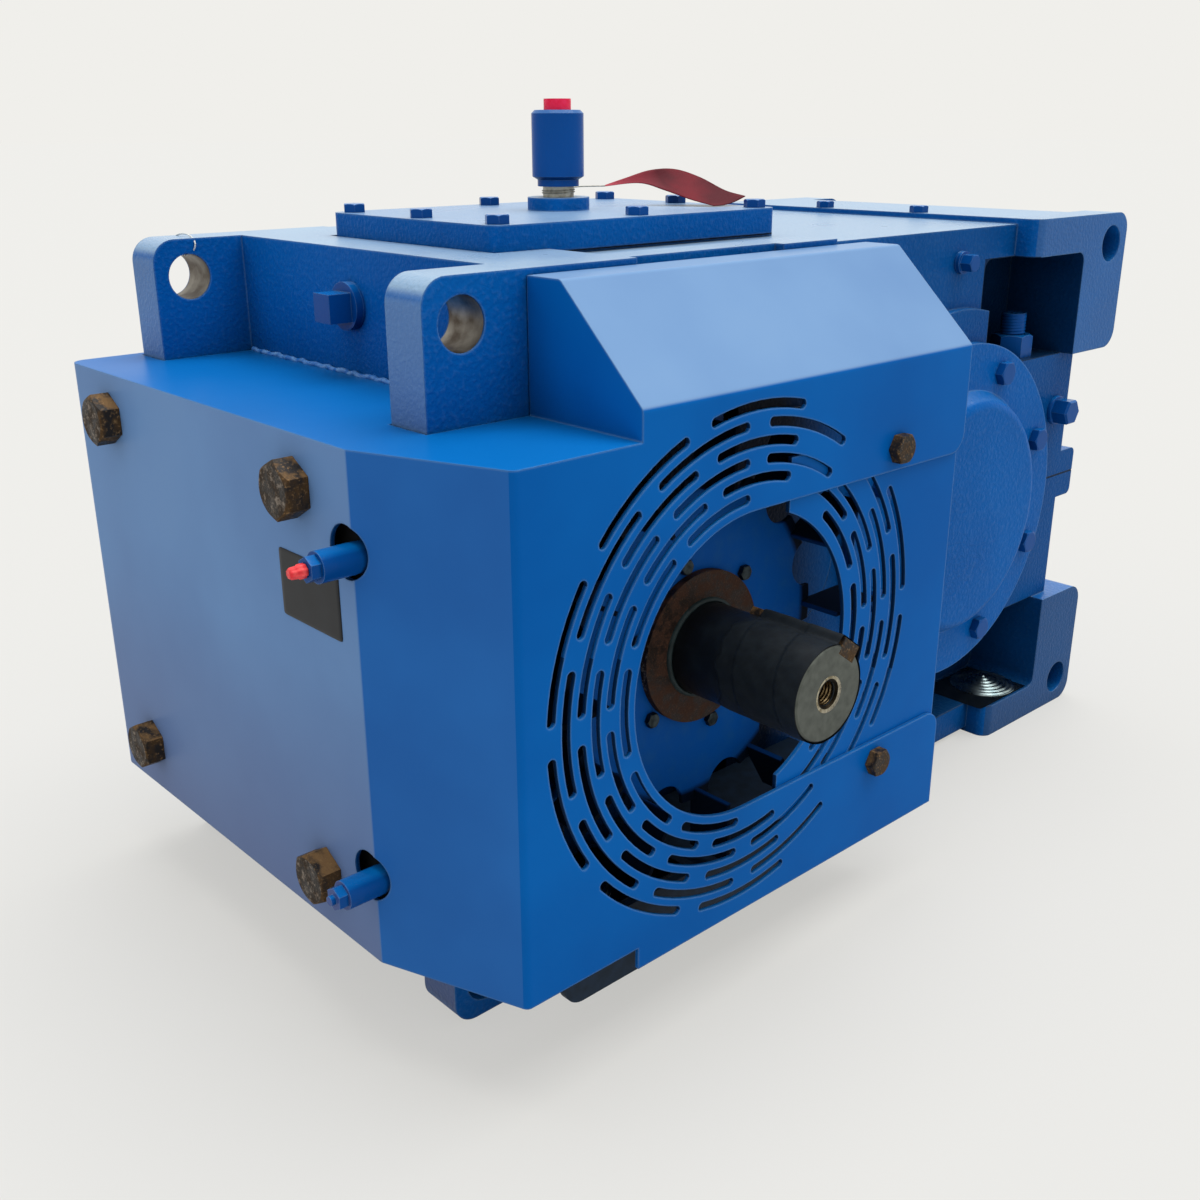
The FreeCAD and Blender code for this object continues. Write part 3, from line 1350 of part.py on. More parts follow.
def make_bracket():
    body = new_body("cowl_bracket")
    front = cowl_front_y + bracket_setback
    low = centre_height - bracket_bottom
    high = centre_height - bracket_top
    left = input_x - bracket_left
    right = input_x + bracket_right
    pad(body, "Y", front, front + bracket_plate, box(left, right, low, high))
    inboard = lug_root_left + cowl_gap - half_length
    pad(body, "Z", high - bracket_plate, high, box(inboard, right, front, -wall_y))
    round_edges(body, bracket_corner, lambda edge, middle: near(middle.x, left) and near(middle.z, low))
    keep(body)


# Grease lines that come out through the fold of the cowl
grease_block_size = size("grease_block_size", 26)
grease_block_length = size("grease_block_length", 40)
grease_hex = size("grease_hex", 17)
grease_hex_length = size("grease_hex_length", 8)
grease_tip_radius = size("grease_tip_radius", 4)
grease_tip = size("grease_tip", 4)
grease_cap_radius = size("grease_cap_radius", 5.5)
grease_cap_length = size("grease_cap_length", 13)


def make_grease_lines():
    start = cowl_left_x - grease_pipe_reach
    block_x = -half_length
    y = cowl_chamfer_y + grease_pipe_shift
    lower, upper_one = (level(side, grease_height) - grease_pipe_drop for side in SIDES)
    half = grease_block_size / 2
    pipe = new_body("grease_pipe")
    pad(pipe, "X", start, block_x + past, (y, 0, grease_pipe_radius))
    pad(pipe, "X", block_x, block_x + grease_block_length, box(y - half, -boss_y, -half, half))
    group("grease_pipes", pipe, [((0, 0, lower), UPWARDS), ((0, 0, upper_one), UPWARDS)])
    nipple = new_body("grease_nipple")
    pad(nipple, "Z", 0, grease_hex_length, hexagon(grease_hex))
    pad(nipple, "Z", grease_hex_length, grease_hex_length + grease_tip, (0, 0, grease_tip_radius))
    spots = [((start, y, lower), TOWARDS_LEFT), ((start, y, upper_one), TOWARDS_LEFT)]
    group("grease_nipples", nipple, spots)
    cap = new_body("grease_cap_shell")
    pad(cap, "Z", 0, grease_cap_length, (0, 0, grease_cap_radius))
    cut(cap, "Z", 0, grease_tip, (0, 0, grease_tip_radius + fit_gap))
    group("grease_cap", cap, [((start - grease_hex_length, y, upper_one), TOWARDS_LEFT)])


# Lifting-eye plugs in the raised rim at the output end
rim_bolt_inset = size("rim_bolt_inset", 12)
rim_bolt_spread = size("rim_bolt_spread", 70)


def make_rim_bolts():
    bolt = hex_bolt("rim_bolt", hatch_bolt_flats, hatch_bolt_head, hatch_bolt_radius, hatch_bolt_grip)
    x = half_length - lug_root + rim_bolt_inset
    spots = [((x, across * rim_bolt_spread, centre_height * 2), UPWARDS) for across in SIDES]
    for (place, direction) in spots:
        hole = (place[0], place[1], hatch_bolt_radius + fit_gap)
        cut(upper, "Z", centre_height * 2 - hatch_bolt_grip - past, centre_height * 2, hole)
    group("rim_bolts", bolt, spots)


upper = make_housing_upper()
make_rim_bolts()
make_housing_lower()
make_clamps()
make_hatch()
make_breather()
make_tag()
make_plugs()
make_output_covers()
make_input_covers()
make_cover_bolts()
make_middle_caps()
make_bearing("input", input_x, input_bore, input_journal)
make_bearing("middle", middle_x, middle_bore, middle_journal)
make_bearing("output", output_x, output_bore, output_journal)
make_input_line()
make_middle_line()
make_output_line()
make_cowl()
make_access_plate()
make_cowl_mounting()
make_bracket()
make_grease_lines()

# Every object has to be sound before anything is written
doc.recompute()
for item in doc.Objects:
    if "Invalid" in item.State or "Error" in item.State:
        raise RuntimeError(f"{item.Label} failed: {item.State}")
for item in pieces:
    if item.Shape.isNull() or not item.Shape.isValid():
        raise RuntimeError(f"{item.Label} has no valid shape")
for item in pieces:
    item.Shape.exportStep(f"parts/{item.Label}.step")
print(len(pieces), "pieces written")
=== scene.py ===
# %% [markdown]
# # A gear reducer in blue enamel
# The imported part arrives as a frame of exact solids, already in place and in metres. This lesson
# dresses it: first the finishes for its castings, sheets, bolts and shafts, then the few thin pieces
# that are too small for the solids, and last the camera, the floor and the light.

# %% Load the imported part
import json
import math

import bmesh
import bpy
import numpy as np
from mathutils import Matrix, Vector


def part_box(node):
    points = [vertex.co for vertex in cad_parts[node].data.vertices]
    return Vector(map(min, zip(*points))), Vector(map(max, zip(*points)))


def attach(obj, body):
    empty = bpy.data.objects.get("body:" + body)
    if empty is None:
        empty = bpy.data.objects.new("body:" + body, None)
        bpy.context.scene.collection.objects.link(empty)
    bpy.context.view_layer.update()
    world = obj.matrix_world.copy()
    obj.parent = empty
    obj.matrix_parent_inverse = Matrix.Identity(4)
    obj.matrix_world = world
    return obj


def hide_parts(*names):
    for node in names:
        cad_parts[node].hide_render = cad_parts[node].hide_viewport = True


MM = 0.001
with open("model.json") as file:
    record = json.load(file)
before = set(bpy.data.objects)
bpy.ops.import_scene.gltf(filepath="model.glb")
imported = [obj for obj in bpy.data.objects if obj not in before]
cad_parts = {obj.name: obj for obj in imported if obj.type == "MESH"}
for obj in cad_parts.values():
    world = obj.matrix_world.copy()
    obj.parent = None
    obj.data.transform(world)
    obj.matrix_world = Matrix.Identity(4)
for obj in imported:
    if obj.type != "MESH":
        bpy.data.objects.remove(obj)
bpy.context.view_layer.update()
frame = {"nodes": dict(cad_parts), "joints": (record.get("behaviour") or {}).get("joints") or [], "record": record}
nodes = frame["nodes"]
mounts = frame["record"]["mounts"]
input_axis = Vector(frame["joints"][2]["pos_m"])

# %% [markdown]
# ## Small helpers for finishes
# Colours are easiest to judge as the sRGB hex values of a paint chart, but shaders work in linear
# light, so one function converts them. A second one adds a node, sets its properties and joins its
# inputs in one go. Two more start an empty finish and turn a real size into a texture's scale.

# %% Colour and node helpers
def linear(hex_colour):
    """sRGB hex to linear red, green, blue and full alpha, by the standard two-part curve."""
    parts = np.array([int(hex_colour[i:i + 2], 16) for i in (1, 3, 5)]) / 255
    curved = np.where(parts <= 0.04045, parts / 12.92, ((parts + 0.055) / 1.055) ** 2.4)
    return (*map(float, curved), 1.0)


def add(tree, kind, inputs=(), **settings):
    """Add a shader node with its settings. Inputs are given in order, or by name or number: a node or a
    socket is linked, a node by its first output in use, and any other value is set on the input itself."""
    made = tree.nodes.new("ShaderNode" + kind)
    for name, value in settings.items():
        setattr(made, name, value)
    for key, value in inputs.items() if isinstance(inputs, dict) else enumerate(inputs):
        if isinstance(value, bpy.types.Node):
            value = next(socket for socket in value.outputs if socket.enabled)
        if isinstance(value, bpy.types.NodeSocket):
            tree.links.new(value, made.inputs[key])
        else:
            made.inputs[key].default_value = value
    return made


def new_finish(name):
    """An empty node material and the Object coordinates that its patterns are drawn on."""
    material = bpy.data.materials.new(name)
    material.use_nodes = True
    tree = material.node_tree
    tree.nodes.clear()
    return material, tree, add(tree, "TexCoord").outputs["Object"]


def per_metre(size_mm):
    """Texture scale for a pattern whose features are this many millimetres across."""
    return 1000.0 / size_mm


print("white card in linear light:", linear("#FFFFFF")[:3])

# %% [markdown]
# ## What most finishes share
# Hardly any real surface has one flat colour. Most finishes here blend two tones by a noise, carry a
# few stains and some painted light and shade on top, and have a fine relief. The bevel node softens
# the sharp edges of the solids the way paint rounds a corner, so the relief starts from its normal.

# %% Tones, stains, relief and shader
MIDDLE = (0.35, 0.65)
WIDE_MIDDLE = (0.3, 0.7)
RAYS = 4


def two_tones(tree, pattern, ends, most, first, second):
    """Blend of two hex colours: the second comes in, up to most, as the pattern climbs between its ends."""
    amount = add(tree, "MapRange", (pattern, *ends, 0.0, most))
    return add(tree, "Mix", {0: amount, 6: linear(first), 7: linear(second)}, data_type="RGBA")


def laid_over(tree, colour, *overlays):
    """Lay marks over a colour one after the other, real ones and painted light and shade alike; each is its
    amount and its hex colour.
    """
    for amount, stain in overlays:
        colour = add(tree, "Mix", {0: amount, 6: colour, 7: linear(stain)}, data_type="RGBA")
    return colour


def soft_relief(tree, pattern, depth_mm, strength, edge_mm):
    """Bump that follows a pattern, over corners that are rounded by a radius."""
    rounded = add(tree, "Bevel", {"Radius": edge_mm * MM}, samples=RAYS)
    heights = {"Height": pattern, "Distance": depth_mm * MM, "Strength": strength, "Normal": rounded}
    return add(tree, "Bump", heights)


def with_shader(material, tree, look):
    """Close a material with one principled shader, whose inputs the look names."""
    shader = add(tree, "BsdfPrincipled", look)
    add(tree, "OutputMaterial", (shader,))
    return material


print("a noise keeps mostly between", MIDDLE)

# %% [markdown]
# ## Where the colour changes
# The whole machine was sprayed with one blue machine enamel after assembly. Its colour changes by
# place, partly by real marks and partly by painted light and shade. A map could be painted by hand,
# but arithmetic on the place and the normal of each point is shorter and has no seams. The occlusion
# node adds how hidden a point is from open air, for painted shade.

# %% Places on the machine
HIDDEN_TO_OPEN = (0.12, 0.47)


def facing_and_place(tree, place):
    """The parts along X, Y and Z of the surface's normal and of its place."""
    normal = add(tree, "NewGeometry").outputs["Normal"]
    facing = add(tree, "SeparateXYZ", (normal,)).outputs
    return facing, add(tree, "SeparateXYZ", (place,)).outputs


def inside_box(tree, place, box):
    """1 inside the box and 0 outside: the largest distance from its middle, counted in half sizes."""
    low, high = (np.array(corner) for corner in box)
    offset = add(tree, "VectorMath", (place, tuple((low + high) / 2)), operation="SUBTRACT")
    in_halves = add(tree, "VectorMath", (offset, tuple((high - low) / 2)), operation="DIVIDE")
    counted = add(tree, "VectorMath", (in_halves,), operation="ABSOLUTE")
    parts = add(tree, "SeparateXYZ", (counted,)).outputs
    larger = add(tree, "Math", (parts["Y"], parts["Z"]), operation="MAXIMUM")
    largest = add(tree, "Math", (parts["X"], larger), operation="MAXIMUM")
    return add(tree, "Math", (largest, 1.0), operation="LESS_THAN")


def from_input_axis(tree, place):
    """Distance from the input shaft's axis, which runs along Y."""
    flat = add(tree, "VectorMath", (place, (1.0, 0.0, 1.0)), operation="MULTIPLY")
    centre = (input_axis.x, 0.0, input_axis.z)
    return add(tree, "VectorMath", (flat, centre), operation="DISTANCE")


def occlusion_shade(tree, reach, most):
    """Painted shade by how hidden a point is from open air, within a reach in metres."""
    air = add(tree, "AmbientOcclusion", {"Distance": reach}, samples=RAYS).outputs["AO"]
    return add(tree, "MapRange", (air, *HIDDEN_TO_OPEN, most, 0.0))


print("input shaft's axis, x and z:", round(input_axis.x, 3), round(input_axis.z, 3))

# %% [markdown]
# ## Painted reflection and light on tops
# Faces that look out at the fan end, and high faces that look up, get a pale cloudy haze: a painted
# reflection of bright surroundings. Faces that look straight up get a lighter blue as painted light
# from above, and low on the fan end the colour turns greyish purple towards the bottom. The haze
# follows the way a face looks so closely that its normal finds it without a drawn map.

# %% Painted reflection and light on the enamel
# Painted light on tops, a pale painted reflection, and a greyish purple low on the fan end.
LIT_TOP_BLUE = "#0465AD"
REFLECTION_PALE = "#A8C0CB"
LOW_END_PURPLE = "#5C5674"
STRAIGHT_UP = (0.6, 0.9)
LIT_TOP_MOST = 0.9
UPWARD = (0.3, 0.6)
TO_FAN_END = (-0.995, -0.924)
CLOUD_SWING = (0.9, 1.1)
LOW_TINT_HEIGHTS = (0.1, 0.34)
LOW_TINT_MOST = 0.5


def with_painted_reflection(tree, place, film, cloud, end_reflection, top_reflection):
    """Painted light on faces that look up, a cloudy painted reflection on the top and the fan end, and a
    greyish purple low on the fan end. Each reflection is its amount and the place beyond which it shows."""
    facing, spot = facing_and_place(tree, place)
    # Painted light: faces that look straight up turn a lighter blue.
    lit_top = add(tree, "MapRange", (facing["Z"], *STRAIGHT_UP, 0.0, LIT_TOP_MOST))
    # Painted reflection: a pale cloudy haze on faces that look out at the fan end and on high faces that look up.
    outward = add(tree, "MapRange", (facing["X"], *TO_FAN_END, 1.0, 0.0))
    far_out = add(tree, "Math", (spot["X"], end_reflection[1]), operation="LESS_THAN")
    at_end = add(tree, "Math", (outward, far_out), operation="MULTIPLY")
    on_end = add(tree, "Math", (at_end, end_reflection[0]), operation="MULTIPLY")
    upward = add(tree, "MapRange", (facing["Z"], *UPWARD, 0.0, top_reflection[0]))
    high_up = add(tree, "Math", (spot["Z"], top_reflection[1]), operation="GREATER_THAN")
    on_top = add(tree, "Math", (upward, high_up), operation="MULTIPLY")
    either = add(tree, "Math", (on_end, on_top), operation="ADD")
    cloudy = add(tree, "MapRange", (cloud, *WIDE_MIDDLE, *CLOUD_SWING))
    reflected_haze = add(tree, "Math", (either, cloudy), operation="MULTIPLY")
    # Greyish purple low on the fan end, stronger towards the bottom.
    flat_end = add(tree, "Math", (at_end, 2.0), operation="POWER")
    low_down = add(tree, "MapRange", (spot["Z"], *LOW_TINT_HEIGHTS, LOW_TINT_MOST, 0.0))
    low_tint = add(tree, "Math", (flat_end, low_down), operation="MULTIPLY")
    return laid_over(tree, film, (lit_top, LIT_TOP_BLUE), (reflected_haze, REFLECTION_PALE), (low_tint, LOW_END_PURPLE))


print("dust fades out at a height of", LOW_TINT_HEIGHTS[1], "m")

# %% [markdown]
# ## Painted shade round the fan
# Behind the cowl the wall lies in deep shade, and so do the cut edges of the slots that don't look up:
# both are painted near black as shade. Occlusion alone would darken every corner alike, so these two
# places are also given as boxes and limits in metres.

# %% Painted shade behind the cowl and in its slots
# Near black for painted shade, and for the real dark seam between the housing halves.
SHADE_AND_SEAM_DARK = "#050B13"
INSIDE_COWL = ((-0.43, -0.355, 0.02), (0.03, -0.19, 0.59))
COWL_OPEN_SIDE = (-0.1, 0.02)
COWL_SHADE = 0.95
SLOT_REACH = 0.219
SLOT_SHADE = 0.75
CUT_EDGE_TILT = 0.3
PANEL_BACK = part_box("cowl_access_plate")[1].y + 0.0005


def shade_behind_cowl(tree, place):
    """Painted shade behind the cowl, thinning out past its open side."""
    along = add(tree, "SeparateXYZ", (place,)).outputs["X"]
    thinning = add(tree, "MapRange", (along, *COWL_OPEN_SIDE, COWL_SHADE, 0.0))
    return add(tree, "Math", (inside_box(tree, place, INSIDE_COWL), thinning), operation="MULTIPLY")


def slot_edge_shade(tree, place):
    """Painted shade on the cut edges in the cowl's slots, unless they look up: the product of four limits."""
    facing, spot = facing_and_place(tree, place)
    near = add(tree, "Math", (from_input_axis(tree, place), SLOT_REACH), operation="LESS_THAN")
    in_panel = add(tree, "Math", (spot["Y"], PANEL_BACK), operation="LESS_THAN")
    in_slots = add(tree, "Math", (near, in_panel), operation="MULTIPLY")
    to_front = add(tree, "Math", (facing["Y"],), operation="ABSOLUTE")
    cut_edge = add(tree, "Math", (to_front, CUT_EDGE_TILT), operation="LESS_THAN")
    not_up = add(tree, "Math", (facing["Z"], CUT_EDGE_TILT), operation="LESS_THAN")
    dark_edge = add(tree, "Math", (cut_edge, not_up), operation="MULTIPLY")
    edges = add(tree, "Math", (in_slots, dark_edge), operation="MULTIPLY")
    return add(tree, "Math", (edges, SLOT_SHADE), operation="MULTIPLY")


print("slots reach", SLOT_REACH, "m from the axis, their panel's back is at", round(PANEL_BACK, 4))

# %% [markdown]
# ## Painted shade on the housing
# The pockets of the housing lie in shade, which is painted dark on both sides alike, so one box per
# pocket is tested with the distance to either side. The front of the drive end is painted darker as
# shade too, the fronts of its lugs turn a greyer blue, and a dark seam shows where the two halves
# meet. Each mark has a largest amount.

# %% Painted shade and the seam on the housing
DULL_BLUE = "#56708E"
DRIVE_END = (-0.05, 0.12)
FRONT_TILT = -0.7
LUG_FRONT = -0.23
WALL_SHADE = 0.34
LUG_DULLING = 0.36
LOW_LUG_HEIGHTS = (0.2, 0.45)
LOW_LUG_SHADE = 0.36
POCKET_DEPTH = (0.142, 0.2365)
FAN_END_POCKETS = (-0.4045, -0.1595)
UPPER_POCKETS = (0.2375, 0.4045)
FOOT_POCKETS = (0.1495, 0.4045)
UPPER_HEIGHTS = (0.47, 0.59)
FOOT_HEIGHTS = (0.04, 0.16)
POCKETS = ((UPPER_POCKETS, UPPER_HEIGHTS, 0.75), (FAN_END_POCKETS, UPPER_HEIGHTS, 0.75),
           (FOOT_POCKETS, FOOT_HEIGHTS, 0.6), (FAN_END_POCKETS, FOOT_HEIGHTS, 0.6))
SPLIT_HEIGHT = 0.315
SEAM_EDGE = (0.0008, 0.0016)
SEAM_GRIME = 0.85


def housing_shade_and_seam(tree, place, colour):
    """Painted shade on the drive end's front and in the pockets, a greyer blue on the lugs' fronts, and a
    dark seam where the halves meet.
    """
    facing, spot = facing_and_place(tree, place)
    # Painted shade on the drive end's front wall and low on its lugs.
    to_front = add(tree, "Math", (facing["Y"], FRONT_TILT), operation="LESS_THAN")
    along = add(tree, "MapRange", (spot["X"], *DRIVE_END, 0.0, 1.0))
    at_drive_end = add(tree, "Math", (to_front, along), operation="MULTIPLY")
    far_front = add(tree, "Math", (spot["Y"], LUG_FRONT), operation="LESS_THAN")
    on_lug = add(tree, "Math", (at_drive_end, far_front), operation="MULTIPLY")
    on_wall = add(tree, "Math", (at_drive_end, on_lug), operation="SUBTRACT")
    shaded_wall = add(tree, "Math", (on_wall, WALL_SHADE), operation="MULTIPLY")
    dull_lug = add(tree, "Math", (on_lug, LUG_DULLING), operation="MULTIPLY")
    low_down = add(tree, "MapRange", (spot["Z"], *LOW_LUG_HEIGHTS, LOW_LUG_SHADE, 0.0))
    shaded_low_lug = add(tree, "Math", (on_lug, low_down), operation="MULTIPLY")
    overlays = [(shaded_wall, SHADE_AND_SEAM_DARK), (dull_lug, DULL_BLUE), (shaded_low_lug, SHADE_AND_SEAM_DARK)]
    sideways = add(tree, "Math", (spot["Y"],), operation="ABSOLUTE")
    mirrored = add(tree, "CombineXYZ", (spot["X"], sideways, spot["Z"]))
    # Painted shade in the pockets, on either side.
    for ends, heights, most in POCKETS:
        pocket = inside_box(tree, mirrored, tuple(zip(ends, POCKET_DEPTH, heights)))
        overlays.append((add(tree, "Math", (pocket, most), operation="MULTIPLY"), SHADE_AND_SEAM_DARK))
    above_seam = add(tree, "Math", (spot["Z"], SPLIT_HEIGHT), operation="SUBTRACT")
    off_seam = add(tree, "Math", (above_seam,), operation="ABSOLUTE")
    seam = add(tree, "MapRange", (off_seam, *SEAM_EDGE, SEAM_GRIME, 0.0))
    return laid_over(tree, colour, *overlays, (seam, SHADE_AND_SEAM_DARK))


print("pockets with grime on each side:", len(POCKETS))

# %% [markdown]
# ## Blue enamel
# On the castings the sand of the mould shows through the enamel as a coarse grain, on folded sheet
# only the faint orange peel of the spray is left. Edges, where the rounded normal and the flat one
# part, and on castings the tops of the grain, are painted paler as highlights, and hidden corners are
# painted dark as shade. Washed tops shine more than sides. Real bevels would cost the solids many
# faces, and here a bent normal does as well.

# %% Blue enamel on castings, sheet and bolts
SHEET_BLUES = ("#03549E", "#045DA9")
CAST_BLUES = ("#03529A", "#045AA5")
BOLT_BLUES = ("#034182", "#044A90")
# Paler blue for the painted highlights on edges and grain tops.
EDGE_HIGHLIGHT_BLUE = "#7FA8D2"
CLOUD_MM = 160
EDGE_TURN = (0.82, 0.98)
EDGE_HIGHLIGHT_MOST = 0.4
GRAIN_TOPS = (0.5, 0.8)
GRAIN_GLINT_MOST = 0.085
# Painted shade in corners: its reach in metres and its largest amount.
CORNER_REACH = 0.13
CORNER_SHADE = 0.85
ROUGHNESS_SWING = 0.05
WASHED_TOPS = (0.7, 0.95)


def enamel(name, blues, grain, edge_mm, roughness, shine, end_reflection, top_reflection, cast=False, housing=False):
    """Grain is its size and depth in mm, shine is for sides and tops; each reflection is the amount of
    painted reflection and the place beyond which it shows."""
    material, tree, place = new_finish(name)
    cloud = add(tree, "TexNoise", {"Vector": place, "Scale": per_metre(CLOUD_MM), "Detail": 3.0})
    film = two_tones(tree, cloud, MIDDLE, 1.0, *blues)
    colour = with_painted_reflection(tree, place, film, cloud, end_reflection, top_reflection)
    sand = add(tree, "TexNoise", {"Vector": place, "Scale": per_metre(grain[0]), "Detail": 4.0})
    rounded = add(tree, "Bevel", {"Radius": edge_mm * MM}, samples=RAYS)
    flat = add(tree, "NewGeometry").outputs["Normal"]
    turned = add(tree, "VectorMath", (rounded, flat), operation="DOT_PRODUCT")
    # Painted highlight: edges and, on castings, grain tops turn a paler blue.
    edge_highlight = add(tree, "MapRange", (turned, *EDGE_TURN, EDGE_HIGHLIGHT_MOST, 0.0))
    if cast:
        grain_glints = add(tree, "MapRange", (sand, *GRAIN_TOPS, 0.0, GRAIN_GLINT_MOST))
        edge_highlight = add(tree, "Math", (edge_highlight, grain_glints), operation="ADD")
    # Painted shade: hidden corners darken by occlusion.
    corners = occlusion_shade(tree, CORNER_REACH, CORNER_SHADE)
    # Painted shade behind the cowl and on the slots' cut edges.
    hidden = shade_behind_cowl(tree, place) if cast else slot_edge_shade(tree, place)
    colour = laid_over(tree, colour, (edge_highlight, EDGE_HIGHLIGHT_BLUE), (corners, SHADE_AND_SEAM_DARK), (hidden, SHADE_AND_SEAM_DARK))
    if housing:
        colour = housing_shade_and_seam(tree, place, colour)
    heights = {"Height": sand, "Distance": grain[1] * MM, "Strength": 0.9, "Normal": rounded}
    bump = add(tree, "Bump", heights)
    swing = (roughness - ROUGHNESS_SWING, roughness + ROUGHNESS_SWING)
    gloss = add(tree, "MapRange", (cloud, *WIDE_MIDDLE, *swing))
    facing, _ = facing_and_place(tree, place)
    washed = add(tree, "MapRange", (facing["Z"], *WASHED_TOPS, *shine))
    look = {"Base Color": colour, "Roughness": gloss, "Normal": bump, "IOR": 1.5,
            "Specular IOR Level": washed}
    return with_shader(material, tree, look)


casting = {"grain": (4.0, 1.2), "edge_mm": 3.0, "roughness": 0.3, "shine": (0.03, 0.6), "cast": True}
cast_enamel = enamel("blue_enamel_on_sand_casting", CAST_BLUES, **casting,
                     end_reflection=(0.16, -0.5), top_reflection=(0.45, 0.6))
housing_enamel = enamel("blue_enamel_on_split_housing", CAST_BLUES, **casting,
                        end_reflection=(0.25, -0.5), top_reflection=(0.62, 0.6), housing=True)
sheet_enamel = enamel("blue_enamel_on_folded_sheet", SHEET_BLUES, grain=(14.0, 0.04), edge_mm=2.8,
                      roughness=0.34, shine=(0.03, 0.1), end_reflection=(0.31, -0.53), top_reflection=(0.38, 0.53))
bolt_enamel = enamel("blue_enamel_on_bolts", BOLT_BLUES, grain=(6.0, 0.2), edge_mm=1.0,
                     roughness=0.2, shine=(0.08, 0.4), end_reflection=(0.0, -0.6), top_reflection=(0.1, 0.6))
print("enamels:", [m.name for m in (cast_enamel, housing_enamel, sheet_enamel, bolt_enamel)])

# %% [markdown]
# ## Dusty fan
# The fan wears the same blue, dulled by dust on its disc. Its blades lie in the cowl's shade, so
# beyond a radius round the shaft the paint goes almost black as painted shade. Two materials would
# need the disc cut at that radius, so one finish asks for the distance from the axis instead.

# %% Dusty blue on the fan
# Beyond this radius the blades are painted almost black as shade.
UNSHADED_RADIUS = 0.134
SHADE_EDGE = 0.006
BLADE_SHADE = 0.97


def fan_paint(name):
    """Dust blended into the blue by a noise, and painted shade by the distance from the shaft's axis
    and by occlusion.
    """
    material, tree, place = new_finish(name)
    radius = from_input_axis(tree, place)
    # Painted shade: beyond the radius the blades go almost black.
    shaded_blades = add(tree, "MapRange", (radius, UNSHADED_RADIUS, UNSHADED_RADIUS + SHADE_EDGE, 0.0, BLADE_SHADE))
    dust = add(tree, "TexNoise", {"Vector": place, "Scale": per_metre(11), "Detail": 6.0})
    paint = two_tones(tree, dust, ends=(0.45, 0.75), most=0.4, first="#044A94", second="#1E5488")
    # Painted shade in hidden corners, by occlusion.
    corners = occlusion_shade(tree, reach=0.1, most=0.6)
    colour = laid_over(tree, paint, (shaded_blades, SHADE_AND_SEAM_DARK), (corners, SHADE_AND_SEAM_DARK))
    bump = soft_relief(tree, dust, depth_mm=0.2, strength=0.6, edge_mm=1.0)
    look = {"Base Color": colour, "Roughness": 0.5, "Normal": bump, "Specular IOR Level": 0.04}
    return with_shader(material, tree, look)


fan_enamel = fan_paint("dusty_blue_enamel_on_fan")
print("fan paint:", fan_enamel.name, "clean within", UNSHADED_RADIUS, "m")

# %% [markdown]
# ## Rust
# The large cowl bolts, the clamp ring and the key end were never painted. Black mill scale is left in
# patches and orange-brown rust has grown over the rest. Two noises of different size decide which one
# shows, because a single one looks like splashes. The faces of the cowl bolts look to the fan end and
# kept most of their black scale, rubbed to bare steel in specks.

# %% Rusted steel
RUBBED = "#9C9083"
BOLT_FACES = (-0.97, -0.9)
FACE_RUST = 0.3
RUST_PATCHES = (0.42, 0.58)
RUST_GRAINS = (0.55, 0.75)
GRAINS_MOST = 0.7
RUST_UPWARD = (0.2, 0.8)
UPWARD_MOST = 0.55
RUBBED_SPOTS = (0.46, 0.63)
DULL_PATCHES = (0.4, 0.6)
DULLNESS = (0.48, 0.85)


def rust(name, scale_colour, rust_colour, bright_colour, patch_mm):
    """Scale to rust by a patchy noise, brighter grains by a finer one, less of both on bolt faces."""
    material, tree, place = new_finish(name)
    patch = add(tree, "TexNoise", {"Vector": place, "Scale": per_metre(patch_mm), "Detail": 8.0})
    fine = add(tree, "TexNoise", {"Vector": place, "Scale": per_metre(patch_mm / 6), "Detail": 6.0})
    rubbing = {"Vector": place, "Scale": per_metre(patch_mm / 2), "Detail": 9.0, "Roughness": 0.75}
    rubbed = add(tree, "TexNoise", rubbing)
    facing, _ = facing_and_place(tree, place)
    off_faces = add(tree, "MapRange", (facing["X"], *BOLT_FACES, FACE_RUST, 1.0))
    rusty = add(tree, "MapRange", (patch, *RUST_PATCHES, 0.0, 1.0))
    browned = add(tree, "Math", (rusty, off_faces), operation="MULTIPLY")
    grains = add(tree, "MapRange", (fine, *RUST_GRAINS, 0.0, GRAINS_MOST))
    bright = add(tree, "Math", (grains, off_faces), operation="MULTIPLY")
    # Brighter rust on upward faces: partly rust, partly painted light falling on their tops.
    upward = add(tree, "MapRange", (facing["Z"], *RUST_UPWARD, 0.0, UPWARD_MOST))
    rust_and_lit_top = add(tree, "Math", (upward, rusty), operation="MULTIPLY")
    bare = add(tree, "MapRange", (rubbed, *RUBBED_SPOTS, 0.0, 1.0))
    on_faces = add(tree, "Math", (bare, off_faces), operation="SUBTRACT")
    specks = add(tree, "Math", (on_faces, 0.0), operation="MAXIMUM")
    colour = laid_over(tree, linear(scale_colour), (browned, rust_colour), (bright, bright_colour),
                     (rust_and_lit_top, bright_colour), (specks, RUBBED))
    bump = soft_relief(tree, fine, depth_mm=0.6, strength=0.9, edge_mm=1.2)
    dull = add(tree, "MapRange", (patch, *DULL_PATCHES, *DULLNESS))
    look = {"Base Color": colour, "Roughness": dull, "Metallic": 0.25, "Normal": bump,
            "Specular IOR Level": 0.25}
    return with_shader(material, tree, look)


bolt_rust = rust("rusted_black_bolt_steel", "#241F1B", "#4A361F", "#94724A", 14)
ring_rust = rust("rusted_clamp_ring_steel", "#241A15", "#3E281D", "#5E3F2A", 9)
print("rusts:", bolt_rust.name, ring_rust.name)

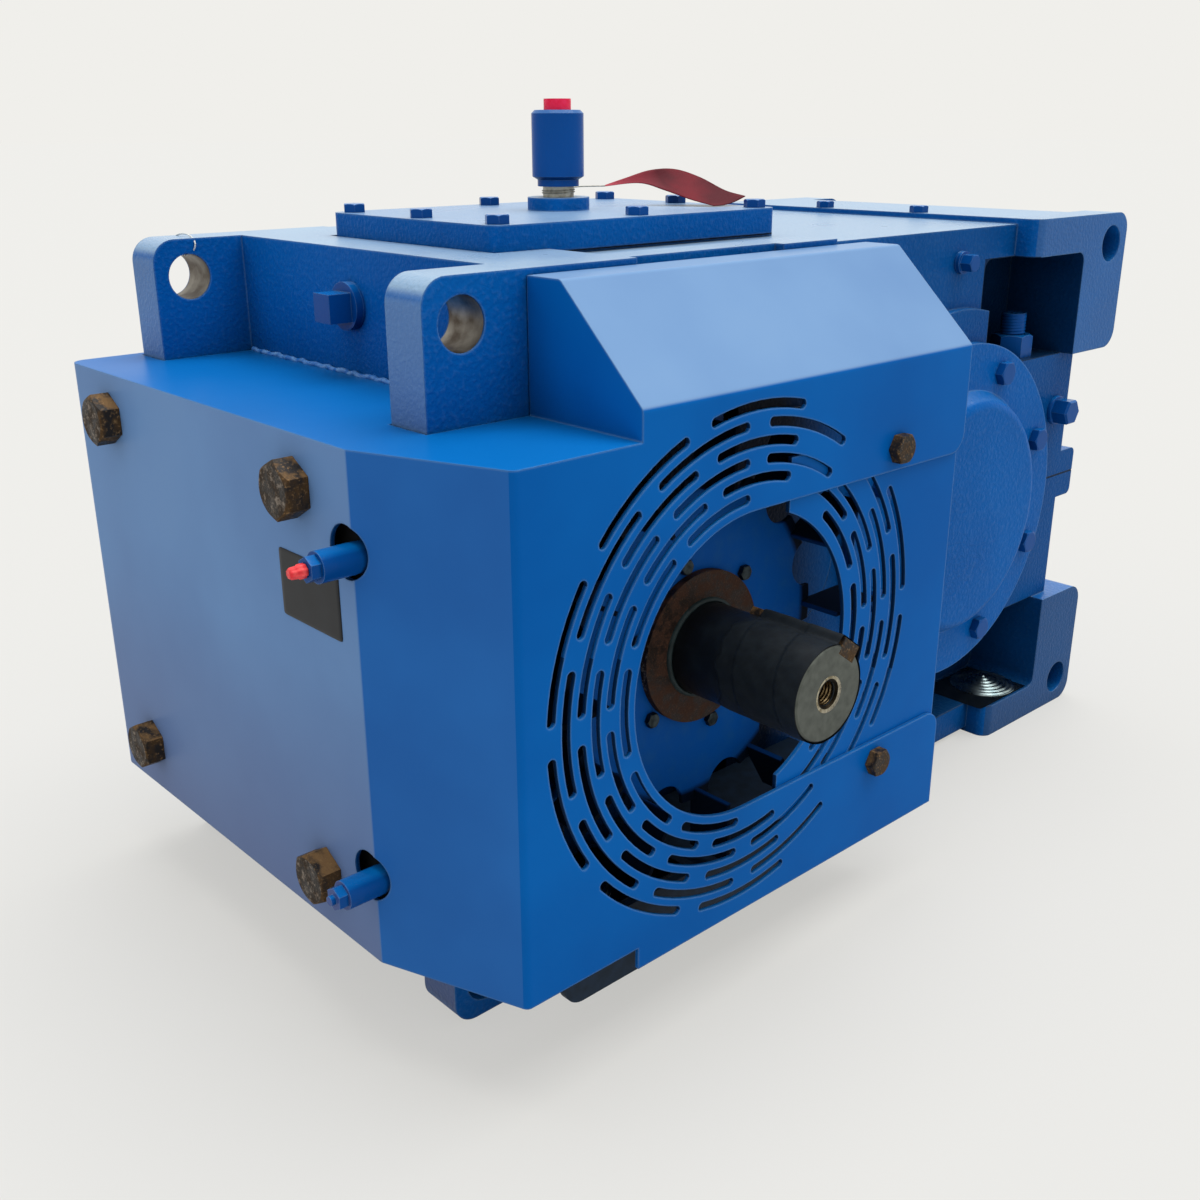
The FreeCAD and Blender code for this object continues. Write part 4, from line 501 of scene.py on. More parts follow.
# %% [markdown]
# ## Black preservative on the shafts
# A shaft is turned steel under a black wax that keeps it from rusting in store. Only the end face of
# the input shaft and its centre hole are bare. Turning leaves fine rings round the axis, which show
# as streaks in the gloss. As grooves they would take thousands of faces, so a noise that is squeezed
# along the shaft gives them.

# %% Black shaft coat
shaft_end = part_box("input_shaft")[0].y
BARE_DEPTH = 0.0012
RING_MM = (60, 1.5, 60)
BARE_METAL = 0.75


def coated_shaft(name):
    """Bare steel up to a small depth behind the end face, black wax from there on."""
    material, tree, place = new_finish(name)
    along = add(tree, "SeparateXYZ", (place,)).outputs["Y"]
    bare = add(tree, "Math", (along, shaft_end + BARE_DEPTH), operation="LESS_THAN")
    stretch = tuple(per_metre(size) for size in RING_MM)
    squeezed = add(tree, "Mapping", {"Vector": place, "Scale": stretch})
    rings = add(tree, "TexNoise", {"Vector": squeezed, "Scale": 1.0, "Detail": 4.0})
    smear = add(tree, "TexNoise", {"Vector": place, "Scale": per_metre(18), "Detail": 5.0})
    wax = two_tones(tree, smear, ends=(0.5, 0.75), most=0.5, first="#0C1014", second="#1D2529")
    pits = add(tree, "TexNoise", {"Vector": place, "Scale": per_metre(7), "Detail": 6.0})
    end_face = two_tones(tree, pits, WIDE_MIDDLE, most=1.0, first="#4A4E49", second="#5C605A")
    colour = add(tree, "Mix", {0: bare, 6: wax, 7: end_face}, data_type="RGBA")
    bump = soft_relief(tree, rings, depth_mm=0.1, strength=0.5, edge_mm=1.0)
    metal = add(tree, "Math", (bare, BARE_METAL), operation="MULTIPLY")
    dull = add(tree, "MapRange", (rings, *WIDE_MIDDLE, 0.34, 0.5))
    look = {"Base Color": colour, "Roughness": dull, "Metallic": metal, "Normal": bump,
            "Specular IOR Level": 0.25}
    return with_shader(material, tree, look)


shaft_coat = coated_shaft("black_wax_on_turned_shaft")
print("shaft coat:", shaft_coat.name, "bare end at", round(shaft_end, 4))

# %% [markdown]
# ## Bare metals
# Bearings, gears, plated and blackened fittings are plain metal. They differ in two tones, in how
# dull they are and in the size of the marks that grinding, turning or oil left on them, so one
# function makes them all.

# %% Steels, iron and brass
DULLNESS_SWING = 0.08


def steel(name, light, dark, roughness, grain_mm):
    """A metal whose tone, dullness and faint relief all follow one noise of the grain's size."""
    material, tree, place = new_finish(name)
    grain = add(tree, "TexNoise", {"Vector": place, "Scale": per_metre(grain_mm), "Detail": 5.0})
    colour = two_tones(tree, grain, MIDDLE, most=1.0, first=dark, second=light)
    bump = soft_relief(tree, grain, depth_mm=0.08, strength=0.6, edge_mm=0.6)
    swing = (roughness - DULLNESS_SWING, roughness + DULLNESS_SWING)
    dull = add(tree, "MapRange", (grain, *WIDE_MIDDLE, *swing))
    look = {"Base Color": colour, "Roughness": dull, "Metallic": 1.0, "Normal": bump}
    return with_shader(material, tree, look)


ground_steel = steel("ground_bearing_steel", "#B4B6B8", "#8E9194", 0.28, 6)
gear_steel = steel("ground_gear_steel", "#8F9296", "#66696D", 0.32, 8)
plain_steel = steel("zinc_plated_steel", "#A9A79C", "#7F7B70", 0.38, 5)
brass = steel("machined_cage_brass", "#C9A55A", "#9C7B3A", 0.35, 5)
thread_steel = steel("oiled_tapped_steel", "#A08A64", "#5E503C", 0.36, 3)
bore_iron = steel("bare_bored_iron", "#A09B92", "#4E443A", 0.5, 20)
black_steel = steel("blackened_bolt_steel", "#3F484B", "#1E2426", 0.45, 5)
bright_steel = steel("bright_turned_steel", "#B5AE98", "#756B54", 0.3, 4)
metals = (ground_steel, gear_steel, plain_steel, brass, thread_steel, bore_iron, black_steel, bright_steel)
print("metals:", [m.name for m in metals])

# %% [markdown]
# ## Plastics, rubber and the dark bracket
# Two red caps are moulded plastic with a low sheen. The seals are black nitrile rubber and the gasket
# is pressed fibre. The bar under the fan end is painted near black as shade, and so is a ring behind
# each grease pipe's hole. All of them share one plain recipe: two close tones and a faint relief from
# the same noise.

# %% Moulded and dark finishes
def moulded(name, colour, roughness, mottling, mottle_mm, depth_mm):
    """A dull film whose second tone and relief follow one noise of the mottle's size."""
    material, tree, place = new_finish(name)
    mottle = add(tree, "TexNoise", {"Vector": place, "Scale": per_metre(mottle_mm), "Detail": 4.0})
    shade = two_tones(tree, mottle, ends=(0.35, 0.7), most=1.0, first=colour, second=mottling)
    bump = soft_relief(tree, mottle, depth_mm, strength=0.6, edge_mm=0.8)
    look = {"Base Color": shade, "Roughness": roughness, "Normal": bump, "IOR": 1.49,
            "Specular IOR Level": 0.2}
    return with_shader(material, tree, look)


red_cap = moulded("moulded_red_polyethylene", "#E8123F", 0.42, "#F02A55", 5, 0.05)
coral_cap = moulded("moulded_coral_polypropylene", "#DC3038", 0.4, "#EE5A58", 4, 0.05)
# Near black for the painted shade behind the pipe holes.
hole_shade_black = moulded("painted_shade_black", "#040506", 0.95, "#08090A", 3, 0.02)
nitrile = moulded("moulded_nitrile_rubber", "#15171A", 0.6, "#22252A", 3, 0.05)
fibre = moulded("pressed_gasket_fibre", "#23262B", 0.8, "#34383E", 2, 0.1)
# Dark blue near black for the painted shade on the bar under the fan end.
bar_shade_dark = moulded("dark_bar_painted_shade", "#10202F", 0.6, "#182B40", 12, 0.1)
print("moulded:", [m.name for m in (red_cap, coral_cap, hole_shade_black, nitrile, fibre, bar_shade_dark)])

# %% [markdown]
# ## Finishes on the solids
# Every solid has one material slot. A plain list per finish says which pieces were made that way, and
# the print at the end tells if one was forgotten.

# %% Give each solid its finish
finishes = {
    housing_enamel: ["housing_lower", "housing_upper"],
    cast_enamel: ["inspection_cover", "output_blank_cover", "output_seal_cover", "input_seal_cover",
                  "input_blank_cover", "middle_bore_caps"],
    sheet_enamel: ["fan_cowl", "cowl_access_plate", "cowl_spacers"],
    bolt_enamel: ["clamp_studs", "clamp_nuts", "inspection_bolts", "breather_body", "square_plug",
                  "hex_plugs", "output_blank_cover_bolts", "output_seal_cover_bolts", "input_cover_bolts",
                  "grease_pipes", "grease_nipples", "rim_bolts", "square_plug_seal", "hex_plug_seals"],
    fan_enamel: ["fan_wheel", "fan_hub"],
    bolt_rust: ["cowl_bolts", "access_plate_bolts", "input_key", "output_key"],
    black_steel: ["fan_bolts"],
    ring_rust: ["fan_clamp_ring"],
    shaft_coat: ["input_shaft", "output_shaft"],
    ground_steel: [name for name in nodes if name.endswith(("inner_rings", "outer_rings"))]
                  + ["middle_shaft", "middle_gear_key", "output_gear_key"],
    gear_steel: ["middle_gear", "output_gear"],
    brass: [name for name in nodes if name.endswith("roller_rings")],
    plain_steel: ["breather_neck"],
    red_cap: ["breather_cap", "grease_cap"],
    nitrile: ["output_seal", "input_seal"],
    fibre: ["inspection_gasket"],
    bar_shade_dark: ["cowl_bracket"],
}
for finish, members in finishes.items():
    for member in members:
        for slot in nodes[member].material_slots:
            slot.material = finish
dressed = {member for members in finishes.values() for member in members}
print("solids with a finish:", len(dressed), "without:", sorted(set(nodes) - dressed))

# %% [markdown]
# ## Surfaces from two parameters
# Thin trim is easiest as a surface worked out on a grid: give every grid point its place with whole
# arrays, then join neighbours into quads. The same function closes the grid round in one direction
# for tubes and rings.

# %% Grid surfaces
MEET = 1e-6


def grid_piece(name, points, finish, body, round_first=False, round_second=False, turn_over=False):
    """A mesh from an array of points (rows, columns, 3); a rounded direction joins its end to its start,
    turn_over makes the faces look to the other side, and points that meet at a pole become one."""
    rows, columns = points.shape[:2]
    numbers = np.arange(rows * columns).reshape(rows, columns)
    down = np.concatenate([numbers, numbers[:1]]) if round_first else numbers
    down = np.concatenate([down, down[:, :1]], axis=1) if round_second else down
    corners = (down[:-1, :-1], down[1:, :-1], down[1:, 1:], down[:-1, 1:])
    quads = np.stack([corner.ravel() for corner in corners], axis=1)
    quads = quads[:, ::-1] if turn_over else quads
    mesh = bpy.data.meshes.new(name)
    mesh.from_pydata(points.reshape(-1, 3).tolist(), [], quads.tolist())
    mesh.polygons.foreach_set("use_smooth", np.ones(len(mesh.polygons), bool))
    shell = bmesh.new()
    shell.from_mesh(mesh)
    bmesh.ops.remove_doubles(shell, verts=shell.verts, dist=MEET)
    shell.to_mesh(mesh)
    shell.free()
    piece = bpy.data.objects.new(name, mesh)
    bpy.context.scene.collection.objects.link(piece)
    piece.data.materials.append(finish)
    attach(piece, body)
    return piece


print("points closer than", MEET, "m are joined")

# %% [markdown]
# ## Turned and drawn shapes
# Most trim is either turned, a profile swept round an axis, or drawn, a circle carried along a path.
# A smooth path through a few points comes from a cubic on each span.

# %% Turned surfaces, paths and tubes
SLANT = (0.13, 0.31, 0.94)


def full_turn(steps):
    """Angles of evenly spaced points round a circle, without the last one, which is the first again."""
    return np.linspace(0, 2 * np.pi, steps, endpoint=False)


def turned_surface(profile, centre, axis, steps=96):
    """Sweep (radius, along) pairs round an axis through a centre: cos and sin on two square axes."""
    axis = np.array(axis, float)
    side = np.cross(axis, (0.0, 0.0, 1.0) if abs(axis[2]) < 0.9 else (1.0, 0.0, 0.0))
    side /= np.linalg.norm(side)
    up = np.cross(side, axis)
    angle = full_turn(steps)[:, None, None]
    radius = np.array(profile)[None, :, 0:1]
    along = np.array(profile)[None, :, 1:2]
    return np.array(centre) + radius * (np.cos(angle) * side + np.sin(angle) * up) + along * axis


def smooth_path(points, count):
    """Catmull-Rom curve through the points: a cubic on each span from its four neighbours."""
    points = np.array(points, float)
    ends = np.concatenate([2 * points[:1] - points[1:2], points, 2 * points[-1:] - points[-2:-1]])
    place = np.linspace(0, len(points) - 1 - 1e-9, count)
    span = place.astype(int)
    t = (place - span)[:, None]
    a, b, c, d = (ends[span + k] for k in range(4))
    squared = (2 * a - 5 * b + 4 * c - d) * t ** 2
    cubed = (3 * b - a - 3 * c + d) * t ** 3
    return 0.5 * (2 * b + (c - a) * t + squared + cubed)


def tube_surface(path, radius, sides=8):
    """Carry a circle along a path: the side vectors are square to the path, and to a slant that no path
    here runs along."""
    ahead = np.gradient(path, axis=0)
    ahead /= np.linalg.norm(ahead, axis=1, keepdims=True)
    side = np.cross(ahead, SLANT)
    side /= np.linalg.norm(side, axis=1, keepdims=True)
    up = np.cross(side, ahead)
    angle = full_turn(sides)[None, :, None]
    return path[:, None] + radius * (np.cos(angle) * side[:, None] + np.sin(angle) * up[:, None])


print("a turned circle has", turned_surface([(1, 0)], (0, 0, 0), (0, 1, 0)).shape[0], "points")

# %% [markdown]
# ## Red polyester
# The streamer is woven polyester, dark red and paler towards the wire. Real threads are about half a
# millimetre apart, which is too fine to show, so the weave is drawn coarser.

# %% Woven red cloth
THREAD_MM = 1.2
PALE_END_SPAN = (-0.135, -0.075)
PALE_END_MOST = 0.9


def woven_streamer(name):
    """Two reds by a noise, paler towards the wire's end along X, and a cell pattern for the threads."""
    material, tree, place = new_finish(name)
    weave = add(tree, "TexVoronoi", {"Vector": place, "Scale": per_metre(THREAD_MM)})
    fade = add(tree, "TexNoise", {"Vector": place, "Scale": per_metre(40), "Detail": 3.0})
    reds = two_tones(tree, fade, MIDDLE, most=1.0, first="#4E0B18", second="#6A121F")
    along = add(tree, "SeparateXYZ", (place,)).outputs["X"]
    paler_end = add(tree, "MapRange", (along, *PALE_END_SPAN, PALE_END_MOST, 0.0))
    colour = laid_over(tree, reds, (paler_end, "#C4525C"))
    bump = add(tree, "Bump", {"Height": weave, "Distance": 0.3 * MM, "Strength": 0.5})
    look = {"Base Color": colour, "Roughness": 0.55, "Normal": bump, "Specular IOR Level": 0.1}
    return with_shader(material, tree, look)


streamer_cloth = woven_streamer("woven_red_polyester")
print("cloth:", streamer_cloth.name)

# %% [markdown]
# ## Red streamer on the breather
# A woven red streamer is tied to the breather's neck as a reminder to take out its transport cap. It
# starts as a twist at the wire, widens, arches up and comes down on the inspection cover. A cloth
# simulation could drape it, but two drawn edges put it where the photograph shows it: they are smooth
# curves, and the cloth between them is a straight blend from one to the other that sags a little.

# %% Streamer
CLOTH_SAG = 0.0025
CLOTH_THICKNESS = 0.0006
CLOTH_ROWS = 60
CLOTH_COLUMNS = 13
near_edge = np.array([(-135, 0, 671.6), (-98.3, -12.6, 673.7), (-82.5, -32.6, 667), (-71.9, -57.6, 658.9),
                      (-59.7, -79.3, 652.9)]) * MM
far_edge = np.array([(-134, 1, 672.6), (-111.7, -4.6, 678.7), (-82.4, -10.6, 685.8), (-53.3, -17.6, 686.2),
                     (-36.9, -37.6, 678.4), (-25.8, -62.6, 666.1), (-20.7, -86, 661)]) * MM
across = np.linspace(0, 1, CLOTH_COLUMNS)[None, :, None]
along = np.linspace(0, 1, CLOTH_ROWS)[:, None, None]
near_curve = smooth_path(near_edge, CLOTH_ROWS)[:, None]
far_curve = smooth_path(far_edge, CLOTH_ROWS)[:, None]
sag = np.array((0, 0, -CLOTH_SAG)) * np.sin(np.pi * across) * along
streamer_points = near_curve * (1 - across) + far_curve * across + sag
streamer = grid_piece("breather_streamer", streamer_points, streamer_cloth, "housing")
thick = streamer.modifiers.new("cloth thickness", "SOLIDIFY")
thick.thickness = CLOTH_THICKNESS
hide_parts("breather_tag")

# %% [markdown]
# ## Tie wire
# Two turns of soft wire hold the streamer to the neck. A curve with a round section would do, but a
# circle carried along a helix and then along a short lead gives the mesh at once.

# %% Tie wire
TIE_RADIUS = 0.0006
COIL_STEPS = 80
COIL_HALF_HEIGHT = 0.002
LEAD_BEND = np.array((0.012, 0.001, 0.0015))
neck_low, neck_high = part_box("breather_neck")
neck_centre = (neck_low + neck_high) / 2
coil_radius = (neck_high.x - neck_low.x) / 2 + TIE_RADIUS
two_turns = np.linspace(0, 4 * np.pi, COIL_STEPS)
coil = np.stack([neck_centre.x + coil_radius * np.cos(two_turns),
                 neck_centre.y + coil_radius * np.sin(two_turns),
                 neck_centre.z + np.linspace(-COIL_HALF_HEIGHT, COIL_HALF_HEIGHT, COIL_STEPS)], axis=1)
lead = smooth_path([coil[-1], coil[-1] + LEAD_BEND, near_edge[0]], 30)
wire_points = tube_surface(np.concatenate([coil, lead[1:]]), TIE_RADIUS)
wire = grid_piece("tie_wire", wire_points, plain_steel, "housing", round_second=True)
print("wire points:", len(wire.data.vertices))

# %% [markdown]
# ## Bare plate on the cowl
# A thin dark plate is stuck on the left face beside the upper grease pipe. Its outline is a rounded
# rectangle: a superellipse with a high power, so one formula gives straight sides and small round
# corners.

# %% Dark plate
CORNER_POWER = 28
PLATE_HALF = np.array((0.0425, 0.0275))
PLATE_SIDE = 0.0006
PLATE_FACE = 0.0008
PLATE_CHAMFER = 0.0004
cowl_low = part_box("fan_cowl")[0]
plate_centre = np.array((cowl_low.x, -0.1735, 0.398))
circle = np.stack([np.cos(full_turn(160)), np.sin(full_turn(160))], axis=1)
outline = np.sign(circle) * np.abs(circle) ** (2 / CORNER_POWER)


def plate_ring(grow, rise):
    """The outline at half the plate's size plus a growth, raised off the cowl's left face."""
    flat = outline * (PLATE_HALF + grow)
    return np.stack([np.full(len(flat), plate_centre[0] - rise), plate_centre[1] - flat[:, 0],
                     plate_centre[2] + flat[:, 1]], axis=1)


rings = [plate_ring(0, 0), plate_ring(0, PLATE_SIDE), plate_ring(-PLATE_CHAMFER, PLATE_FACE)]
rings += [plate_ring(-PLATE_HALF * share, PLATE_FACE) for share in (0.1, 0.5, 1)]
plate_finish = moulded("printed_dark_aluminium_plate", "#121417", 0.42, "#191B1F", 20, 0.01)
plate = grid_piece("bare_plate", np.stack(rings), plate_finish, "housing", round_second=True,
                   turn_over=True)
print("plate mm:", (PLATE_HALF * 2 / MM).tolist())

# %% [markdown]
# ## Bright covers over the foot holes
# Each foot hole is closed for transport by a pressed bright disc with stepped rings that rise to the
# middle. Instead of a profile drawn ring by ring it is a turned surface from a formula: the radius
# falls and the height climbs, with a ripple for the rings.

# %% Ringed covers
FOOT_CORNERS = ((1, -1), (1, 1), (-1, -1), (-1, 1))
SEAT_HEIGHT = 0.041
COVER_RADIUS = 0.041
COVER_EDGE = 0.0012
COVER_RISE = 0.011
DOME_POWER = 1.2
RING_COUNT = 7
RING_HEIGHT = 0.0006
foot = next(mount for mount in mounts if mount["name"] == "foot_bolts")["dims"]
foot_x = foot["spacing_x_mm"] / 2000
foot_y = foot["spacing_y_mm"] / 2000
share = np.linspace(1, 0, 90)
ripple = RING_HEIGHT * np.sin(2 * np.pi * RING_COUNT * share)
dome = COVER_EDGE + COVER_RISE * (1 - share) ** DOME_POWER + ripple
profile = np.concatenate([[(COVER_RADIUS, 0.0)], np.stack([COVER_RADIUS * share, dome], axis=1)])
cover_finish = steel("bright_pressed_steel", "#A3B2B2", "#66777A", 0.3, 24)
for number, (i, j) in enumerate(FOOT_CORNERS):
    points = turned_surface(profile, (i * foot_x, j * foot_y, SEAT_HEIGHT), (0, 0, 1))
    cover = grid_piece(f"foot_hole_cover_{number}", points, cover_finish, "housing", round_first=True,
                       turn_over=True)
print("foot covers at height", SEAT_HEIGHT)

# %% [markdown]
# ## Threads
# The stud ends and the tapped centre of the input shaft show their threads. A screw modifier could
# wind one, but a tube whose radius rises and falls once per pitch, shifted by the angle, closes by
# itself, and its ridge climbs as it goes round.

# %% Thread surfaces
RIDGE = 0.0011
STUD_RADIUS = 0.0135
STUD_PITCH = 0.0035
STUD_TIP = 0.001
STUD_GAP = 0.0001


def thread_surface(centre, axis, radius, depth, pitch, length, steps=40):
    """Radius plus a triangle wave of (distance along divided by pitch, plus the turn)."""
    along = np.linspace(0, length, int(length / pitch * 6))
    wave = np.abs((along[None] / pitch + full_turn(steps)[:, None] / (2 * np.pi)) % 1 * 2 - 1)
    ring = turned_surface([(1.0, 0.0)], (0, 0, 0), axis, steps)
    grown = ring * (radius + depth * wave)[..., None]
    return np.array(centre) + grown + along[None, :, None] * np.array(axis)


stud_low, stud_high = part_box("clamp_studs")
nut_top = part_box("clamp_nuts")[1].z
for i, x in enumerate((stud_low.x + STUD_RADIUS, stud_high.x - STUD_RADIUS)):
    for j, y in enumerate((stud_low.y + STUD_RADIUS, stud_high.y - STUD_RADIUS)):
        points = thread_surface((x, y, nut_top), (0, 0, 1), STUD_RADIUS + STUD_GAP, RIDGE, STUD_PITCH,
                                stud_high.z - nut_top - STUD_TIP)
        ridge = grid_piece(f"stud_thread_{i}{j}", points, bolt_enamel, "housing", round_first=True,
                           turn_over=True)
print("stud threads start at", round(nut_top, 3))

# %% [markdown]
# ## Centre hole of the input shaft
# The tapped hole in the shaft's end has an oily thread. Its wide mouth is painted dark as shade, and
# the rim is bright steel that is wider on one side, as a painted highlight on its chamfer. The hole in
# the solid is narrower, so both are thin rings laid on the end face, between circles that don't share
# a middle.

# %% Tapped centre, its mouth and its rim
TAPPED_RADIUS = 0.0099
TAPPED_PITCH = 0.003
TAPPED_LENGTH = 0.034
THREAD_START = 0.0035
HOLE_RADIUS = 0.0102
HOLE_DEPTH = 0.0022
MOUTH_RADIUS = 0.0125
MOUTH_ASIDE = -0.0013
MOUTH_RAISE = 0.0009
RIM_RADIUS = 0.015
RIM_FOOT = 0.0152
PROUD = 0.0003
start = (input_axis.x, shaft_end + THREAD_START, input_axis.z)
points = thread_surface(start, (0, 1, 0), TAPPED_RADIUS, -RIDGE, TAPPED_PITCH, TAPPED_LENGTH)
tapped = grid_piece("tapped_centre_thread", points, thread_steel, "input_line", round_first=True)


def circle_points(aside, in_front, height, radius):
    """Points round a circle that lies across the input shaft, off its end's middle by three distances."""
    middle = (input_axis.x + aside, shaft_end - in_front, input_axis.z + height)
    return turned_surface([(radius, 0.0)], middle, (0, 1, 0))[:, 0]


# Painted highlight: the rim's circles are off-centre, so the bright steel is wider on one side.
wide_mouth = circle_points(MOUTH_ASIDE, PROUD, MOUTH_RAISE, MOUTH_RADIUS)
points = np.stack([wide_mouth, circle_points(0, PROUD, 0, RIM_RADIUS), circle_points(0, 0, 0, RIM_FOOT)])
rim_ring = grid_piece("centre_hole_rim", points, bright_steel, "input_line", round_second=True)
# Painted shade: the wide mouth inside the rim is dark.
points = np.stack([circle_points(0, -HOLE_DEPTH, 0, HOLE_RADIUS), wide_mouth])
mouth_shade_finish = steel("painted_shade_hole_mouth", "#1B1813", "#2C251B", 0.5, 6)
mouth_shade = grid_piece("centre_hole_painted_shade", points, mouth_shade_finish, "input_line", round_second=True)
print("centre hole's thread starts at", round(start[1], 4))

# %% [markdown]
# ## Bare bores in the lugs
# The lug holes at the fan end have lost their paint to the shackles, so bright iron shows inside
# them. The casting has one material slot, so a thin tube just inside each hole wears that finish.

# %% Lug bores
BORE_GAP = 0.0002
BORE_INSET = 0.0015
lined = [m for m in mounts if m["name"].startswith("lifting_hole") and m["name"].endswith("left")]
for mount in lined:
    half = mount["dims"]["length_mm"] / 2000 - BORE_INSET
    radius = mount["dims"]["r_mm"] / 1000 - BORE_GAP
    points = turned_surface([(radius, -half), (radius, half)], mount["pos_m"], (0, -1, 0))
    lining = grid_piece(mount["name"] + "_bore", points, bore_iron, "housing", round_first=True)
print("lined holes at the fan end:", len(lined))

# %% [markdown]
# ## Protective tape on the shaft end
# The outer part of the input shaft is wrapped in black tape that goes over the key. The tape's radius
# is the larger of a circle and of a flat over the key, the winding adds a small saw-tooth step along
# the shaft, and the inner edge is torn: its place along the shaft wanders with the angle.

# %% Black tape over the key
KEY_TURN = math.radians(36)
KEY_TOP = 0.0454
KEY_HALF = 0.0118
KEY_BLEND = 0.004
SHAFT_RADIUS = 0.04
TAPE_LENGTH = 0.083
TAPE_START = 0.0006
TAPE_LIFT = 0.0005
TORN_LIFT = 0.0001
TEARS = ((0.0035, 3, 1), (0.002, 7, 0), (0.0012, 13, 2))
WINDING_PITCH = 0.042
WINDING_STEP = 0.0005
CREASE = 0.0002


def tape_surface(rows=70, steps=240):
    """Polar radius max(circle, key flat) plus winding and creases, from the shaft's end to a torn edge,
    whose place is the tape's length plus a sum of sines."""
    share = np.linspace(0, 1, rows)[None]
    angle = full_turn(steps)[:, None]
    off_key = (angle - (np.pi / 2 - KEY_TURN) + np.pi) % (2 * np.pi) - np.pi
    torn = TAPE_LENGTH + sum(depth * np.sin(waves * angle + shift) for depth, waves, shift in TEARS)
    along = TAPE_START + share * (torn - TAPE_START)
    far_side = np.where(np.abs(off_key) > 1.5, 1.0, 0.0)
    aside = np.abs(SHAFT_RADIUS * np.sin(off_key)) + far_side
    over_key = np.clip((KEY_HALF + KEY_BLEND - aside) / KEY_BLEND, 0, 1)
    flat = KEY_TOP / np.cos(np.clip(off_key, -0.5, 0.5))
    radius = SHAFT_RADIUS + TAPE_LIFT + over_key * (flat - SHAFT_RADIUS)
    winding = WINDING_STEP * ((along / WINDING_PITCH + angle / (2 * np.pi)) % 1)
    creases = CREASE * np.sin(along * 170 + 3 * np.sin(2 * angle)) * np.sin(7 * angle + along * 40)
    radius = radius + winding + creases
    radius[:, -1] = SHAFT_RADIUS + TORN_LIFT + over_key[:, 0] * (flat[:, 0] - SHAFT_RADIUS)
    return np.stack([input_axis.x + radius * np.cos(angle), shaft_end + along,
                     input_axis.z + radius * np.sin(angle)], axis=2)


tape_finish = moulded("black_creased_tape", "#0F1418", 0.5, "#161C20", 8, 0.2)
tape = grid_piece("shaft_tape", tape_surface(), tape_finish, "input_line", round_first=True, turn_over=True)
print("tape mm:", round(TAPE_LENGTH / MM))

# %% [markdown]
# ## Lip ring
# A thin teal lip ring closes the gap between the clamp ring and the shaft. It is too thin for the
# solids, so its profile, a foot, a lip and a slope back to the clamp ring, is turned round the shaft.

# %% Lip ring
LIP_PROFILE = [(0.0403, 0.0), (0.0403, -0.003), (0.0418, -0.0032), (0.0436, -0.001), (0.0438, 0.0)]
lip_place = (input_axis.x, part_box("fan_clamp_ring")[0].y, input_axis.z)
lip_finish = moulded("moulded_teal_lip", "#1A2526", 0.5, "#273637", 6, 0.05)
lip_points = turned_surface(LIP_PROFILE, lip_place, (0, 1, 0))
lip = grid_piece("seal_lip", lip_points, lip_finish, "input_line", round_first=True, turn_over=True)
print("lip ring at", round(lip_place[1], 4))

# %% [markdown]
# ## Grease cap
# The red grease cap is fluted: its radius rises and falls with the angle. The profile is given in
# shares of the plain cap's radius and length, so it fits the solid that it stands in for.

# %% Fluted grease cap
CAP_SHARES = [(0.8, 0.0), (1.0, 0.05), (1.0, 0.45), (0.86, 0.5), (0.8, 0.9), (0.66, 1.0), (0.0, 0.98)]
CAP_STEPS = 64
FLUTES = 8
FLUTE_DEPTH = 0.1
cap_low, cap_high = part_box("grease_cap")
cap_radius = (cap_high.z - cap_low.z) / 2
cap_length = cap_high.x - cap_low.x
cap_root = np.array((cap_high.x, (cap_low.y + cap_high.y) / 2, (cap_low.z + cap_high.z) / 2))
cap_profile = [(cap_radius * radius, cap_length * along) for radius, along in CAP_SHARES]
cap_points = turned_surface(cap_profile, cap_root, (-1, 0, 0), CAP_STEPS)
flute = 1 - FLUTE_DEPTH * (0.5 + 0.5 * np.cos(FLUTES * full_turn(CAP_STEPS)))[:, None, None]
cap_points[..., 1:] = cap_root[1:] + (cap_points[..., 1:] - cap_root[1:]) * flute
fluted = grid_piece("fluted_grease_cap", cap_points, coral_cap, "housing", round_first=True, turn_over=True)
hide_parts("grease_cap")
print("flutes on the grease cap:", FLUTES)

# %% [markdown]
# ## Black films in the foot pockets
# A thin black film lies in the pocket round each foot cover. On the casting it would need a mask of its
# own, so it is a flat piece just above the seat: the plate's rounded outline again, filled towards the
# middle.

# %% Black films
FILM_HALF = np.array((0.057, 0.043, 0.0))
FILM_LIFT = 0.0003
FILM_INSET = 0.015
FILM_ASIDE = 0.19
rim = np.column_stack([outline, np.zeros(len(outline))]) * FILM_HALF
black_film_finish = moulded("black_pocket_film", "#0B0F13", 0.22, "#141A1F", 15, 0.05)
for number, (i, j) in enumerate(FOOT_CORNERS):
    centre = np.array((i * (foot_x - FILM_INSET), j * FILM_ASIDE, SEAT_HEIGHT + FILM_LIFT))
    layers = np.stack([centre + rim * share for share in (1.0, 0.6, 0.0)])
    film = grid_piece(f"black_pocket_layer_{number}", layers, black_film_finish, "housing", round_second=True, turn_over=True)
print("oil films:", len(FOOT_CORNERS))

# %% [markdown]
# ## Painted shade behind the pipe holes
# Inside the cowl a flat near-black ring fills the hole round each grease pipe as painted shade. It only
# has to hide the gap, so a straight blend from the pipe's circle to a wider one set off to the side is
# enough.

